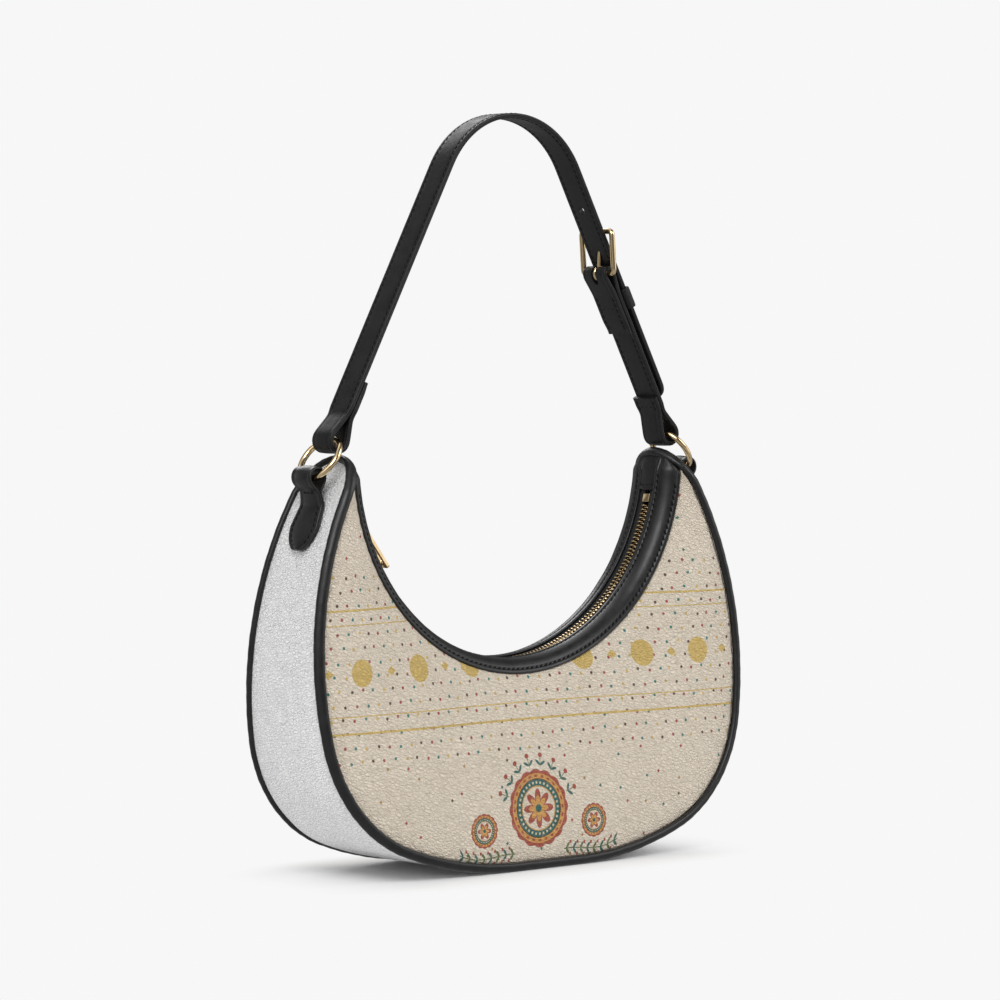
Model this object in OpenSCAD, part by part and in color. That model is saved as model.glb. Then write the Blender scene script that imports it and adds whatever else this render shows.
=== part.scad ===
// Half moon shoulder bag with a curved zip mouth and a buckled strap.
// The origin is at the middle of the underside, X runs along the width,
// the front panel looks along -Y, and Z is up.

/* [Body] */
// Half length of the flat rest under the bag
base_half = 20; // [10:1:30]
// Radius of the outline beside the flat rest
bottom_arc_r = 200; // [160:5:240]
// Radius of the outline at the lower corners
corner_arc_r = 72; // [60:1:80]
// Radius of the outline up the sides
side_arc_r = 175; // [160:1:190]
// Radius of the outline close to the tips
tip_arc_r = 115; // [100:1:130]
// Distance between the two pipings at the bottom
base_depth = 70; // [60:1:80]
// Distance between the two pipings where the tip arch starts
tip_depth = 40; // [34:1:46]
// Height of the arch that closes the gusset at each tip
arch_h = 19; // [15:1:21]
// Thickness of the panel and gusset leather
leather_t = 1.6; // [1.2:0.1:2]
// Thickness of the lining cloth
lining_t = 0.6; // [0.4:0.1:1]
// Thickness of the board in the bottom
board_t = 1.5; // [1:0.1:2]
// Radius of the piping
piping_r = 2.5; // [2:0.1:3]
// Radius of the filler cord in the piping
piping_core_r = 1.5; // [1:0.1:1.7]

/* [Mouth] */
// How far inside the tips the mouth arc stays
mouth_inset = 3.2; // [2.6:0.1:4.5]
// Radius of the round shoulder of each placket
shoulder_r = 12.5; // [10:0.5:14]
// Half width of the slot that the zip lies in
zip_slot_half = 5.7; // [5.5:0.1:6.5]
// Thickness of the placket leather
placket_t = 1.2; // [0.9:0.1:1.5]

/* [Zip] */
// Thickness of the zip tape
tape_t = 0.7; // [0.5:0.1:0.9]
// Half width of the closed zip tape
tape_half = 12; // [10:0.5:13]
// Height of the teeth
tooth_h = 2.2; // [1.8:0.1:2.4]
// Reach of a tooth from the middle of the zip
tooth_reach = 2.4; // [2:0.1:2.6]
// Length of the slider
slider_l = 10; // [8:0.5:12]
// Width of the slider
slider_w = 9; // [8.6:0.1:9.6]
// Length of the puller from its pin to its end
puller_l = 30; // [22:1:36]
// Width of the puller
puller_w = 5.6; // [4.6:0.1:7]

/* [Handle] */
// Width of the strap
strap_w = 16.5; // [14:0.5:18]
// Width of the strap where it wraps a ring
loop_w = 14.5; // [12:0.5:15]
// Thickness of one strap ply
ply_t = 1.2; // [0.9:0.1:1.4]
// Radius of the arc at the top of the strap
apex_r = 47; // [40:1:55]
// Radius of a ring to the middle of its wire
ring_r = 12; // [11.5:0.1:13]
// Diameter of the ring wire
ring_wire = 3; // [2.4:0.1:3.2]
// Distance of a ring centre outside the tip of the outline
ring_out = 12.3; // [11.5:0.1:14]
// Height of the ring centres above the tip
ring_up = 0.5; // [0:0.1:2]
// Inner radius of a leather loop round a ring
loop_hole_r = 4; // [3.8:0.1:4.3]
// Length of the tab that lies on the gusset
tab_l = 23; // [20:0.5:30]
// Distance of the tab's crease below its loop round the ring
tab_crease_d = 7; // [6.5:0.1:8]
// Greatest width of the tab
tab_w = 20; // [17:0.5:22]
// Distance from a ring loop to the heel bar of the buckle
heel_d = 93; // [86:1:100]
// Length of the buckle frame between its two bars
buckle_l = 21.5; // [21:0.5:25]
// Inner width of the buckle frame
buckle_inner_w = 19.5; // [19:0.5:21]
// Diameter of the buckle's bars
buckle_wire = 3; // [2.6:0.1:3.1]
// Distance between the holes of the strap
hole_pitch = 24; // [20:1:26]
// Diameter of the holes of the strap
hole_d = 4; // [3.6:0.1:4.4]
// Length of the keeper along the strap
keeper_l = 11; // [8:1:14]

/* [Hidden] */
$fn = 64;

// Running clearance between neighbouring pieces
gap = 0.3;
// Overrun of every cut
cut = 1;

// Headings in degrees at which the arcs of the outline meet
bottom_turn = 20;
corner_turn = 79;
side_turn = 118;
tip_turn = 130;
// The flat ground off the underside of the piping
piping_flat = 0.4;
base_z = piping_r - piping_flat;
// How far the gusset stands out past the middle of the piping at the sides
gusset_out = 0.5;
// Heading at which the gusset has drawn in from the flat rest
gusset_settle = 40;

// Outline of the bag

function along(p, r, h0, h1) = p + r * [sin(h1) - sin(h0), cos(h0) - cos(h1)];
function run(p, r, h0, h1, n) =
    [for (k = [1 : n]) let (h = h0 + (h1 - h0) * k / n) concat(along(p, r, h0, h), [h])];
corner_a = [base_half, base_z];
corner_b = along(corner_a, bottom_arc_r, 0, bottom_turn);
corner_c = along(corner_b, corner_arc_r, bottom_turn, corner_turn);
corner_d = along(corner_c, side_arc_r, corner_turn, side_turn);
tip = along(corner_d, tip_arc_r, side_turn, tip_turn);
arch_z = tip[1] - arch_h;

// The mouth is an arc about an axis at the height of the tips
mouth_z = tip[1];
mouth_r = tip[0] - mouth_inset;
ring_x = tip[0] + ring_out;
ring_z = tip[1] + ring_up;

// Right half of the outline as points with headings, up to the side arc's end
side_run = concat([[0, base_z, 0], [base_half / 2, base_z, 0], [base_half, base_z, 0]],
    run(corner_a, bottom_arc_r, 0, bottom_turn, 6),
    run(corner_b, corner_arc_r, bottom_turn, corner_turn, 8),
    run(corner_c, side_arc_r, corner_turn, side_turn, 11));
tip_run = run(corner_d, tip_arc_r, side_turn, tip_turn, 5);
half_run = concat(side_run, tip_run);

function shifted(q, d) = [q[0] + d * sin(q[2]), q[1] - d * cos(q[2])];
function flip(points) = [for (k = [len(points) - 1 : -1 : 1]) [-points[k][0], points[k][1]]];
function whole(points) = concat(flip(points), points);

// Half of the distance between the pipings at a height
depth_slope = (base_depth - tip_depth) / 2 / (arch_z - base_z);
function half_depth(z) = z < arch_z
    ? base_depth / 2 - (z - base_z) * depth_slope
    : tip_depth / 2 * sqrt(max(0, 1 - pow((z - arch_z) / arch_h, 2)));

// A slab across the bag whose width follows the pipings, drawn in by a margin
module depth_envelope(margin) {
    heights = concat([base_z - piping_r - cut, arch_z],
        [for (a = [10 : 10 : 90]) arch_z + (arch_h - margin) * sin(a)]);
    edge = [for (z = heights) [half_depth_in(z, margin), z]];
    rotate([90, 0, 90])
        linear_extrude(height = 4 * side_arc_r, center = true)
            polygon(concat(edge, [for (k = [len(edge) - 1 : -1 : 0]) [-edge[k][0], edge[k][1]]]));
}
function half_depth_in(z, margin) = z <= arch_z
    ? half_depth(z) - margin
    : (tip_depth / 2 - margin) * sqrt(max(0, 1 - pow((z - arch_z) / (arch_h - margin), 2)));

// Everything inside the outline, drawn in by a margin
module outline_envelope(margin) {
    rotate([90, 0, 0])
        linear_extrude(height = 2 * base_depth, center = true)
            polygon(whole([for (q = half_run) shifted(q, -margin)]));
}

// A band along the outline between two offsets of it
module outline_band(outer, inner) {
    rotate([90, 0, 0])
        linear_extrude(height = base_depth, center = true)
            polygon(concat(outer, [for (k = [len(inner) - 1 : -1 : 0]) inner[k]]));
}

// Polyhedra

function unit(v) = v / norm(v);

// A closed shell between two grids of points that have the same rows and columns
module shell(near, far) {
    rows = len(near);
    cols = len(near[0]);
    size = rows * cols;
    points = concat([for (row = near) for (p = row) p], [for (row = far) for (p = row) p]);
    faces = concat(
        [for (r = [0 : rows - 2]) for (c = [0 : cols - 2]) each
            let (a = r * cols + c) [[a, a + 1, a + cols + 1], [a, a + cols + 1, a + cols]]],
        [for (r = [0 : rows - 2]) for (c = [0 : cols - 2]) each
            let (a = size + r * cols + c)
                [[a, a + cols + 1, a + 1], [a, a + cols, a + cols + 1]]],
        [for (c = [0 : cols - 2]) each
            let (a = c) [[a, a + size, a + size + 1], [a, a + size + 1, a + 1]]],
        [for (c = [0 : cols - 2]) each
            let (a = (rows - 1) * cols + c)
                [[a, a + size + 1, a + size], [a, a + 1, a + size + 1]]],
        [for (r = [0 : rows - 2]) each
            let (a = r * cols) [[a, a + cols, a + cols + size], [a, a + cols + size, a + size]]],
        [for (r = [0 : rows - 2]) each
            let (a = r * cols + cols - 1)
                [[a, a + cols + size, a + cols], [a, a + size, a + cols + size]]]);
    polyhedron(points = points, faces = faces, convexity = 6);
}

// A closed ring of round section along a closed run of points about a middle point
module closed_tube(points, r, sides, middle) {
    count = len(points);
    rings = [for (k = [0 : count - 1])
        let (p = points[k])
        let (t = unit(points[(k + 1) % count] - points[(k + count - 1) % count]))
        let (side = unit(cross(t, p - middle)))
        let (up = cross(side, t))
        [for (j = [0 : sides - 1])
            p + r * (cos(360 * j / sides) * up + sin(360 * j / sides) * side)]];
    faces = [for (k = [0 : count - 1]) for (j = [0 : sides - 1]) each
        let (a = k * sides + j, b = k * sides + (j + 1) % sides)
        let (c = ((k + 1) % count) * sides + j, d = ((k + 1) % count) * sides + (j + 1) % sides)
        [[a, c, d], [a, d, b]]];
    polyhedron(points = [for (ring = rings) for (p = ring) p], faces = faces, convexity = 6);
}

// Panels, linings and gusset

// Angle about the mouth axis at which a panel ends at the tips
panel_sweep_angle = 83;
// Angle that the round shoulder of a placket turns through
shoulder_sweep_angle = 66;
// Radius and distance from the middle at which a placket meets its panel
placket_edge_r = mouth_r + shoulder_r * (1 - cos(shoulder_sweep_angle));
placket_edge_half = zip_slot_half + shoulder_r * sin(shoulder_sweep_angle);
// How far a panel swells, as a share of its local width
crown_share = 0.055;
panel_rows = 5;
panel_inset = piping_r + gap;

// A point of a panel's face: share 0 is at the piping and 1 at the placket
function panel_point(column, last, share, lift) =
    let (q = side_run[abs(column)])
    let (o = shifted(q, -panel_inset))
    let (a = panel_sweep_angle * column / last)
    let (m = [(placket_edge_r + 2 * gap) * sin(a), mouth_z - (placket_edge_r + 2 * gap) * cos(a)])
    let (x = column < 0 ? -o[0] : o[0])
    let (width = norm([x - m[0], o[1] - m[1]]))
    let (swell = 4 * crown_share * width * share * (1 - share))
    [x + (m[0] - x) * share,
     half_depth(q[1]) + (placket_edge_half - half_depth(q[1])) * share + swell + lift,
     o[1] + (m[1] - o[1]) * share];
function panel_grid(lift, rows) =
    let (last = len(side_run) - 1)
    [for (r = [0 : rows]) [for (c = [-last : last]) panel_point(c, last, r / rows, lift)]];

module panel(thickness, sunk, rows) {
    shell(panel_grid(-sunk, rows), panel_grid(-sunk - thickness, rows));
}

module front_panel() {
    color("bisque") mirror([0, 1, 0]) panel(leather_t, 0, panel_rows);
}

module back_panel() {
    color("bisque") panel(leather_t, 0, panel_rows);
}

module front_lining() {
    color("dimgray") mirror([0, 1, 0]) panel(lining_t, leather_t + gap, panel_rows - 1);
}

module back_lining() {
    color("dimgray") panel(lining_t, leather_t + gap, panel_rows - 1);
}

// The gusset stands level with the rest at the bottom and draws in up the sides
function gusset_face(q) =
    gusset_out + (base_z - gusset_out) * max(0, 1 - abs(q[2]) / gusset_settle);
gusset_outer = whole([for (q = half_run) shifted(q, gusset_face(q))]);
gusset_inner = whole([for (q = half_run) shifted(q, gusset_face(q) - leather_t)]);

module gusset() {
    color("white")
        difference() {
            intersection() {
                outline_band(gusset_outer, gusset_inner);
                depth_envelope(piping_r + gap);
            }
            mouth_space(mouth_r + shoulder_r / 4);
        }
}

// Everything nearer to the mouth's axis than a radius
module mouth_space(r) {
    translate([0, 0, mouth_z])
        rotate([90, 0, 0])
            cylinder(h = 2 * base_depth, r = r, center = true);
}

lining_sink = leather_t + board_t + 2 * gap;
module gusset_lining() {
    outer = whole([for (q = half_run) shifted(q, gusset_face(q) - lining_sink)]);
    inner = whole([for (q = half_run) shifted(q, gusset_face(q) - lining_sink - lining_t)]);
    color("dimgray")
        difference() {
            intersection() {
                outline_band(outer, inner);
                depth_envelope(piping_r + leather_t + 2 * gap);
            }
            mouth_space(placket_edge_r + tape_half / 2);
        }
}

// Points of the side run that the board covers
board_points = 6;
module base_board() {
    near = whole([for (k = [0 : board_points])
        shifted(side_run[k], gusset_face(side_run[k]) - leather_t - gap)]);
    far = whole([for (k = [0 : board_points])
        shifted(side_run[k], gusset_face(side_run[k]) - leather_t - gap - board_t)]);
    color("tan")
        intersection() {
            outline_band(near, far);
            depth_envelope(piping_r + leather_t + 2 * gap);
        }
}

// Piping

// The piping follows the outline on each side and arches over each tip
arch_steps = 6;
tip_centre_z = corner_d[1] + tip_arc_r * cos(side_turn);
tip_centre_x = corner_d[0] - tip_arc_r * sin(side_turn);
low_run = [for (q = side_run) if (q[1] < arch_z - piping_r) q];
function arch_point(a) =
    let (z = arch_z + arch_h * sin(a))
    let (x = tip_centre_x + sqrt(pow(tip_arc_r, 2) - pow(z - tip_centre_z, 2)))
    [x, z, tip_depth / 2 * cos(a)];
quarter = concat([for (q = low_run) [q[0], q[1], half_depth(q[1])]],
    [for (k = [0 : arch_steps]) arch_point(90 * k / arch_steps)]);
last_q = len(quarter) - 1;
piping_path = concat(
    [for (k = [0 : last_q]) [quarter[k][0], -quarter[k][2], quarter[k][1]]],
    [for (k = [last_q - 1 : -1 : 0]) [quarter[k][0], quarter[k][2], quarter[k][1]]],
    [for (k = [1 : last_q]) [-quarter[k][0], quarter[k][2], quarter[k][1]]],
    [for (k = [last_q - 1 : -1 : 1]) [-quarter[k][0], -quarter[k][2], quarter[k][1]]]);
piping_middle = [0, 0, mouth_z / 2];

module piping() {
    color("black")
        difference() {
            closed_tube(piping_path, piping_r, 8, piping_middle);
            closed_tube(piping_path, piping_core_r + gap / 2, 6, piping_middle);
            translate([0, 0, -cut])
                cube([4 * ring_x, 2 * base_depth, 2 * cut], center = true);
        }
}

module piping_core() {
    color("gray") closed_tube(piping_path, piping_core_r, 6, piping_middle);
}

// Mouth: plackets, end patches and zip

// Sweeps a section about the mouth's axis between two angles from the bottom
module mouth_sweep(from_angle, to_angle) {
    translate([0, 0, mouth_z])
        rotate([90, 0, 0])
            rotate([0, 0, from_angle - 90])
                rotate_extrude(angle = to_angle - from_angle, $fn = 180)
                    children();
}

module placket_section() {
    centre = [mouth_r + shoulder_r, zip_slot_half];
    steps = 10;
    function arc_side(r) = [for (k = [0 : steps])
        let (a = shoulder_sweep_angle * k / steps) centre + r * [-cos(a), sin(a)]];
    inner = arc_side(shoulder_r - placket_t);
    polygon(concat(arc_side(shoulder_r), [for (k = [steps : -1 : 0]) inner[k]]));
}

placket_span_angle = 94;
module placket() {
    intersection() {
        mouth_sweep(-placket_span_angle, placket_span_angle) placket_section();
        depth_envelope(piping_r + gap);
        outline_envelope(piping_r + gap);
    }
}

module front_placket() {
    color("black") placket();
}

module back_placket() {
    color("black") mirror([0, 1, 0]) placket();
}

// Angles of the zip's ends about the mouth's axis
zip_from_angle = -79;
zip_to_angle = 79;
// The zip tape lies under the plackets
tape_r = mouth_r + placket_t + gap;
patch_from_angle = zip_to_angle + gap / mouth_r * 180 / PI;
// Angle at which an end patch stops under the arch of the piping
patch_to_angle = 87.5;

module end_patch() {
    mouth_sweep(patch_from_angle, patch_to_angle)
        translate([mouth_r, -zip_slot_half + gap])
            square([placket_t, 2 * (zip_slot_half - gap)]);
}

module left_end_patch() {
    color("black") mirror([1, 0, 0]) end_patch();
}

module right_end_patch() {
    color("black") end_patch();
}

// The tape is flat in the slot and then follows the underside of the placket
module tape_section() {
    centre = [mouth_r + shoulder_r, zip_slot_half];
    far_r = shoulder_r - placket_t - gap;
    bend = (tape_half - zip_slot_half) / far_r * 180 / PI;
    steps = 5;
    function arc_side(r) = [for (k = [0 : steps])
        let (a = bend * k / steps) centre + r * [-cos(a), sin(a)]];
    under = arc_side(far_r - tape_t);
    polygon(concat([[tape_r + tape_t, tooth_reach + gap / 2], [tape_r, tooth_reach + gap / 2]],
        arc_side(far_r), [for (k = [steps : -1 : 0]) under[k]]));
}

module zip_tape() {
    mouth_sweep(zip_from_angle, zip_to_angle) tape_section();
}

module zip_tape_front() {
    color("black") zip_tape();
}

module zip_tape_back() {
    color("black") mirror([0, 1, 0]) zip_tape();
}

// Middle of the teeth's height as a radius about the mouth's axis
tooth_mid_r = tape_r + tape_t / 2;
// Angles between which the teeth stand
slider_angle = -73.5;
stop_angle = 76.5;
tooth_pitch = tooth_h;
pitch_angle = tooth_pitch / tooth_mid_r * 180 / PI;
teeth_from_angle = slider_angle + pitch_angle / 4;
tooth_count = floor((stop_angle - teeth_from_angle - pitch_angle) / pitch_angle);
// Share of the pitch that a tooth fills, and of its height that the spine fills
tooth_fill_share = 0.5;
spine_share = 0.4;

// A row of teeth on a thin spine, cut as one comb along the arc
module teeth(shift_share) {
    function at(r, a) = r * [sin(a), -cos(a)];
    function edge(h, side) = [for (k = [0 : tooth_count - 1]) each
        let (a = teeth_from_angle + (k + shift_share) * pitch_angle)
        let (b = a + pitch_angle * tooth_fill_share)
        [at(tooth_mid_r + side * h * spine_share / 2, a), at(tooth_mid_r + side * h / 2, a),
         at(tooth_mid_r + side * h / 2, b), at(tooth_mid_r + side * h * spine_share / 2, b)]];
    under = edge(tooth_h, 1);
    over = edge(tooth_h, -1);
    translate([0, -gap / 2, mouth_z])
        rotate([90, 0, 0])
            linear_extrude(height = tooth_reach - gap / 2)
                polygon(concat(under, [for (k = [len(over) - 1 : -1 : 0]) over[k]]));
}

module zip_teeth_front() {
    color("gold") teeth(0);
}

module zip_teeth_back() {
    color("gold") mirror([0, 1, 0]) teeth(tooth_fill_share);
}

// Puts a piece drawn below the mouth's axis at an angle about it
module at_mouth(angle) {
    translate([0, 0, mouth_z]) rotate([0, -angle, 0]) children();
}

stop_l = 2 * tooth_pitch;
module zip_bottom_stop() {
    color("gold")
        at_mouth(stop_angle)
            translate([0, 0, -tooth_mid_r])
                cube([stop_l, 2 * tooth_reach, tooth_h], center = true);
}

top_stop_angle = slider_angle - (slider_l / 2 + tooth_pitch) / tooth_mid_r * 180 / PI;
module zip_top_stops() {
    color("gold")
        for (side = [-1, 1])
            at_mouth(top_stop_angle)
                translate([0, side * (tooth_reach + gap) / 2, -tooth_mid_r])
                    cube([tooth_pitch, tooth_reach - gap, tooth_h], center = true);
}

// Slider

plate_t = 1.2;
channel_h = tooth_h + 2 * gap;
flange_t = 1;
post_w = 1.8;
bridge_r = 3;
bridge_wire = 1.2;
// Angle by which the bridge's ends run on into the top plate
bridge_dip_angle = 12;
slider_top_r = tooth_mid_r - channel_h / 2 - plate_t;

module slider_plate(side) {
    translate([0, 0, -tooth_mid_r + side * (channel_h + plate_t) / 2])
        hull() {
            translate([-slider_l / 2 + slider_w / 2, 0, 0])
                cylinder(h = plate_t, d = slider_w, center = true, $fn = 32);
            translate([slider_l / 2 - slider_w / 4, 0, 0])
                cube([slider_w / 2, slider_w * 0.8, plate_t], center = true);
        }
}

module slider_flange(side_y, side_z) {
    h = (channel_h - tape_t) / 2 - gap;
    translate([slider_l / 8, side_y * (tooth_reach + gap + flange_t / 2),
            -tooth_mid_r + side_z * (channel_h - h + gap / 2) / 2])
        cube([slider_l / 2, flange_t, h + gap / 2], center = true);
}

module zip_slider() {
    color("gold")
        at_mouth(slider_angle) {
            slider_plate(1);
            slider_plate(-1);
            for (side_y = [-1, 1]) for (side_z = [-1, 1])
                slider_flange(side_y, side_z);
            translate([-slider_l / 2 + post_w, 0, -tooth_mid_r])
                cube([post_w, post_w, channel_h + plate_t], center = true);
            translate([0, 0, -slider_top_r])
                rotate([90, -bridge_dip_angle, 0])
                    rotate_extrude(angle = 180 + 2 * bridge_dip_angle, $fn = 48)
                        translate([bridge_r, 0])
                            circle(d = bridge_wire, $fn = 24);
        }
}

// Puller

puller_t = 1.6;
// The puller's pin lies inside the bridge
pin_d = 1.4;
pin_r = slider_top_r - bridge_r + bridge_wire / 2 + gap + pin_d / 2;
// Angle of the puller at rest from the zip's own direction
puller_rest_angle = 17;
ear_w = 1.4;
slot_w = 2.2;

// The puller's own frame: its pin at the origin and its bar along X
module puller_frame() {
    at_mouth(slider_angle)
        translate([0, 0, -pin_r])
            rotate([0, -puller_rest_angle, 0])
                children();
}

module zip_puller() {
    bar_from = bridge_r + bridge_wire + gap;
    color("gold")
        puller_frame() {
            rotate([90, 0, 0])
                cylinder(h = puller_w, d = pin_d, center = true, $fn = 32);
            for (side = [-1, 1])
                translate([bar_from / 2, side * (puller_w - ear_w) / 2, 0])
                    cube([bar_from, ear_w, pin_d], center = true);
            difference() {
                translate([bar_from, 0, 0])
                    translate([(puller_l - bar_from) / 2, 0, 0])
                        cube([puller_l - bar_from, puller_w, puller_t], center = true);
                translate([puller_l - puller_w, 0, 0])
                    cube([puller_w, slot_w, puller_t + 2 * cut], center = true);
            }
        }
}

// Rings

// Lean of the rings: their tops lean towards the middle of the bag
ring_lean_angle = 38;
// How far a leather loop's middle sits inside the ring's wire circle
loop_drop = 1;
loop_seat = ring_r - loop_drop;
top_loop = [ring_x - loop_seat * sin(ring_lean_angle), ring_z + loop_seat * cos(ring_lean_angle)];
low_loop = [ring_x + loop_seat * sin(ring_lean_angle), ring_z - loop_seat * cos(ring_lean_angle)];

module ring() {
    translate([ring_x, 0, ring_z])
        rotate([0, 90 - ring_lean_angle, 0])
            rotate_extrude($fn = 96)
                translate([ring_r, 0])
                    circle(d = ring_wire, $fn = 32);
}

module left_ring() {
    color("gold") mirror([1, 0, 0]) ring();
}

module right_ring() {
    color("gold") ring();
}

// Flat leather straps drawn as bent ribbons

function side_of(v) = [-v[1], v[0]];
function edge_point(points, k, d) =
    let (last = len(points) - 1)
    let (a = unit(k == 0 ? points[1] - points[0] : points[k] - points[k - 1]))
    let (b = unit(k == last ? points[k] - points[k - 1] : points[k + 1] - points[k]))
    let (n = unit(side_of(a) + side_of(b)))
    points[k] + n * d / (n * side_of(a));
function edge_of(points, d) = [for (k = [0 : len(points) - 1]) edge_point(points, k, d)];

// A ribbon between two offsets of a run of points in the XZ plane
module ribbon(points, from_offset, to_offset, width) {
    near = edge_of(points, from_offset);
    far = edge_of(points, to_offset);
    rotate([90, 0, 0])
        linear_extrude(height = width, center = true)
            polygon(concat(near, [for (k = [len(far) - 1 : -1 : 0]) far[k]]));
}

function arc(c, r, a0, a1, n) =
    [for (k = [0 : n]) let (a = a0 + (a1 - a0) * k / n) c + r * [cos(a), sin(a)]];
function bearing(c, p) = atan2(p[1] - c[1], p[0] - c[0]);
function tangent_turn(c, p, r) = acos(r / norm(p - c));

// The way round a circle from one point to another, on the far side of it
function wrap(p, c, r, q, sense, n) =
    let (a = bearing(c, p) + sense * tangent_turn(c, p, r))
    let (b = bearing(c, q) - sense * tangent_turn(c, q, r))
    let (turn = sense > 0 ? (b - a + 720) % 360 : -((a - b + 720) % 360))
    concat([p], arc(c, r, a, a + turn, n), [q]);

// Strap

strap_t = 2 * ply_t;
ply_offset = (strap_t + gap) / 2;
loop_mid_r = loop_hole_r + ply_t;
leg_lean_angle = 28;
// Distance of the pinch below or above a loop from the loop's middle
pinch_d = 13;
heel_pinch_d = 11;
heel_loop_r = buckle_wire / 2 + gap + ply_t;
tail_offset = heel_loop_r + strap_t + gap;
// Ends of the folded plies and of the tail, along the leg
// The short strap's upper fold ends below the heel bar by its own drop
long_fold_d = 32;
short_fold_low_d = 22;
fold_drop = 34;
short_fold_high_d = heel_d - fold_drop;
tail_end_d = 18;

// The right leg's own frame: the ring loop at the origin, Z up the leg, X outward
module leg_frame() {
    translate([top_loop[0], 0, top_loop[1]])
        rotate([0, -leg_lean_angle, 0])
            children();
}
function leg_point(d, offset) =
    top_loop + d * [-sin(leg_lean_angle), cos(leg_lean_angle)]
        + offset * [cos(leg_lean_angle), sin(leg_lean_angle)];
function leg_left(d, offset) = let (p = leg_point(d, offset)) [-p[0], p[1]];

leg_reach = top_loop * [cos(leg_lean_angle), sin(leg_lean_angle)];
apex = [(tail_offset - ply_offset) / 2 / cos(leg_lean_angle),
    (leg_reach + (tail_offset + ply_offset) / 2 - apex_r) / sin(leg_lean_angle)];
left_loop_mid = [-top_loop[0], top_loop[1]];

// Middle line of the long strap from its folded end to its tail
long_path = concat(
    [leg_left(long_fold_d, -ply_offset)],
    wrap(leg_left(pinch_d, -ply_offset), left_loop_mid, loop_mid_r,
        leg_left(pinch_d, ply_offset), -1, 16),
    arc(apex, apex_r, 180 - leg_lean_angle, leg_lean_angle, 18),
    [leg_point(tail_end_d, tail_offset)]);

// Middle line of the short strap in the leg's frame
short_path = concat(
    [[-ply_offset, short_fold_low_d]],
    wrap([-ply_offset, pinch_d], [0, 0], loop_mid_r, [ply_offset, pinch_d], 1, 16),
    wrap([ply_offset, heel_d - heel_pinch_d], [0, heel_d], heel_loop_r,
        [-ply_offset, heel_d - heel_pinch_d], 1, 16),
    [[-ply_offset, short_fold_high_d]]);

// Buckle frame and prong, which tilt about the heel bar
prong_d = 2;
prong_eye_r = buckle_wire / 2 + gap + prong_d / 2;
prong_l = buckle_l + prong_d;
buckle_half = (buckle_inner_w + buckle_wire) / 2;
front_bar_offset = tail_offset + (strap_t + buckle_wire) / 2 + gap;
buckle_tilt_angle = asin(front_bar_offset / buckle_l);
prong_rise_angle = buckle_tilt_angle + asin(((buckle_wire + prong_d) / 2 + gap / 3) / buckle_l);

// Distance of the used hole along the leg, and the steps to the free ones
used_hole_d = heel_d + tail_offset / tan(prong_rise_angle);
free_hole_steps = [1, -1, -2];

// The free holes are square to the strap and the used one is drawn along the prong
module strap_holes() {
    leg_frame() {
        for (step = free_hole_steps)
            translate([tail_offset, 0, used_hole_d + step * hole_pitch])
                rotate([0, 90, 0])
                    cylinder(h = tail_offset, d = hole_d, center = true, $fn = 32);
        translate([0, 0, heel_d])
            rotate([0, prong_rise_angle, 0])
                cylinder(h = prong_l, d = hole_d, $fn = 32);
    }
}

// Cuts the strap narrower round a ring, with the legs' full width above
module loop_narrowing() {
    side_cut = strap_w - loop_w;
    for (side = [-1, 1])
        translate([0, side * (loop_w + side_cut) / 2, 0])
            cube([6 * loop_mid_r, side_cut, 2 * pinch_d], center = true);
}

// Rounds the end of the tail
module tail_rounding() {
    leg_frame()
        translate([tail_offset, 0, tail_end_d])
            difference() {
                cube([2 * strap_t, 2 * strap_w, strap_w], center = true);
                translate([0, 0, strap_w / 2])
                    rotate([0, 90, 0])
                        cylinder(h = 3 * strap_t, d = strap_w, center = true, $fn = 64);
            }
}

module long_ply(from_offset, to_offset) {
    difference() {
        ribbon(long_path, from_offset, to_offset, strap_w);
        strap_holes();
        mirror([1, 0, 0]) leg_frame() loop_narrowing();
        tail_rounding();
    }
}

module long_strap() {
    color("black") long_ply(gap / 20, ply_t);
}

module long_strap_backing() {
    color("black") long_ply(-ply_t, -gap / 20);
}

slot_gap = 2 * gap;
slot_low_d = heel_d - prong_eye_r - prong_d / 2 - slot_gap;
slot_l = prong_eye_r + prong_d / 2 + slot_gap + 2 * heel_loop_r;
module short_ply(from_offset, to_offset) {
    leg_frame()
        difference() {
            ribbon(short_path, from_offset, to_offset, strap_w);
            loop_narrowing();
            translate([0, 0, slot_low_d + slot_l / 2])
                cube([4 * tail_offset, prong_d + 2 * slot_gap, slot_l], center = true);
        }
}

module short_strap() {
    color("black") short_ply(-ply_t, -gap / 20);
}

module short_strap_backing() {
    color("black") short_ply(gap / 20, ply_t);
}

// Keeper

keeper_t = 1.1;
keeper_d = heel_d - heel_pinch_d - gap - keeper_l / 2;
module keeper_loop() {
    hole_x = strap_t + 2 * gap;
    hole_y = strap_w + 2 * gap;
    color("black")
        leg_frame()
            translate([tail_offset, 0, keeper_d])
                difference() {
                    cube([hole_x + 2 * keeper_t, hole_y + 2 * keeper_t, keeper_l], center = true);
                    cube([hole_x, hole_y, keeper_l + 2 * cut], center = true);
                }
}

// Buckle

module heel_frame() {
    leg_frame() translate([0, 0, heel_d]) children();
}

module buckle_frame() {
    color("gold")
        heel_frame()
            rotate([0, buckle_tilt_angle, 0]) {
                for (z = [0, buckle_l])
                    translate([0, 0, z])
                        rotate([90, 0, 0])
                            cylinder(h = 2 * buckle_half, d = buckle_wire, center = true, $fn = 32);
                for (side = [-1, 1]) {
                    translate([0, side * buckle_half, 0])
                        cylinder(h = buckle_l, d = buckle_wire, $fn = 32);
                    for (z = [0, buckle_l])
                        translate([0, side * buckle_half, z])
                            sphere(d = buckle_wire, $fn = 32);
                }
            }
}

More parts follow.
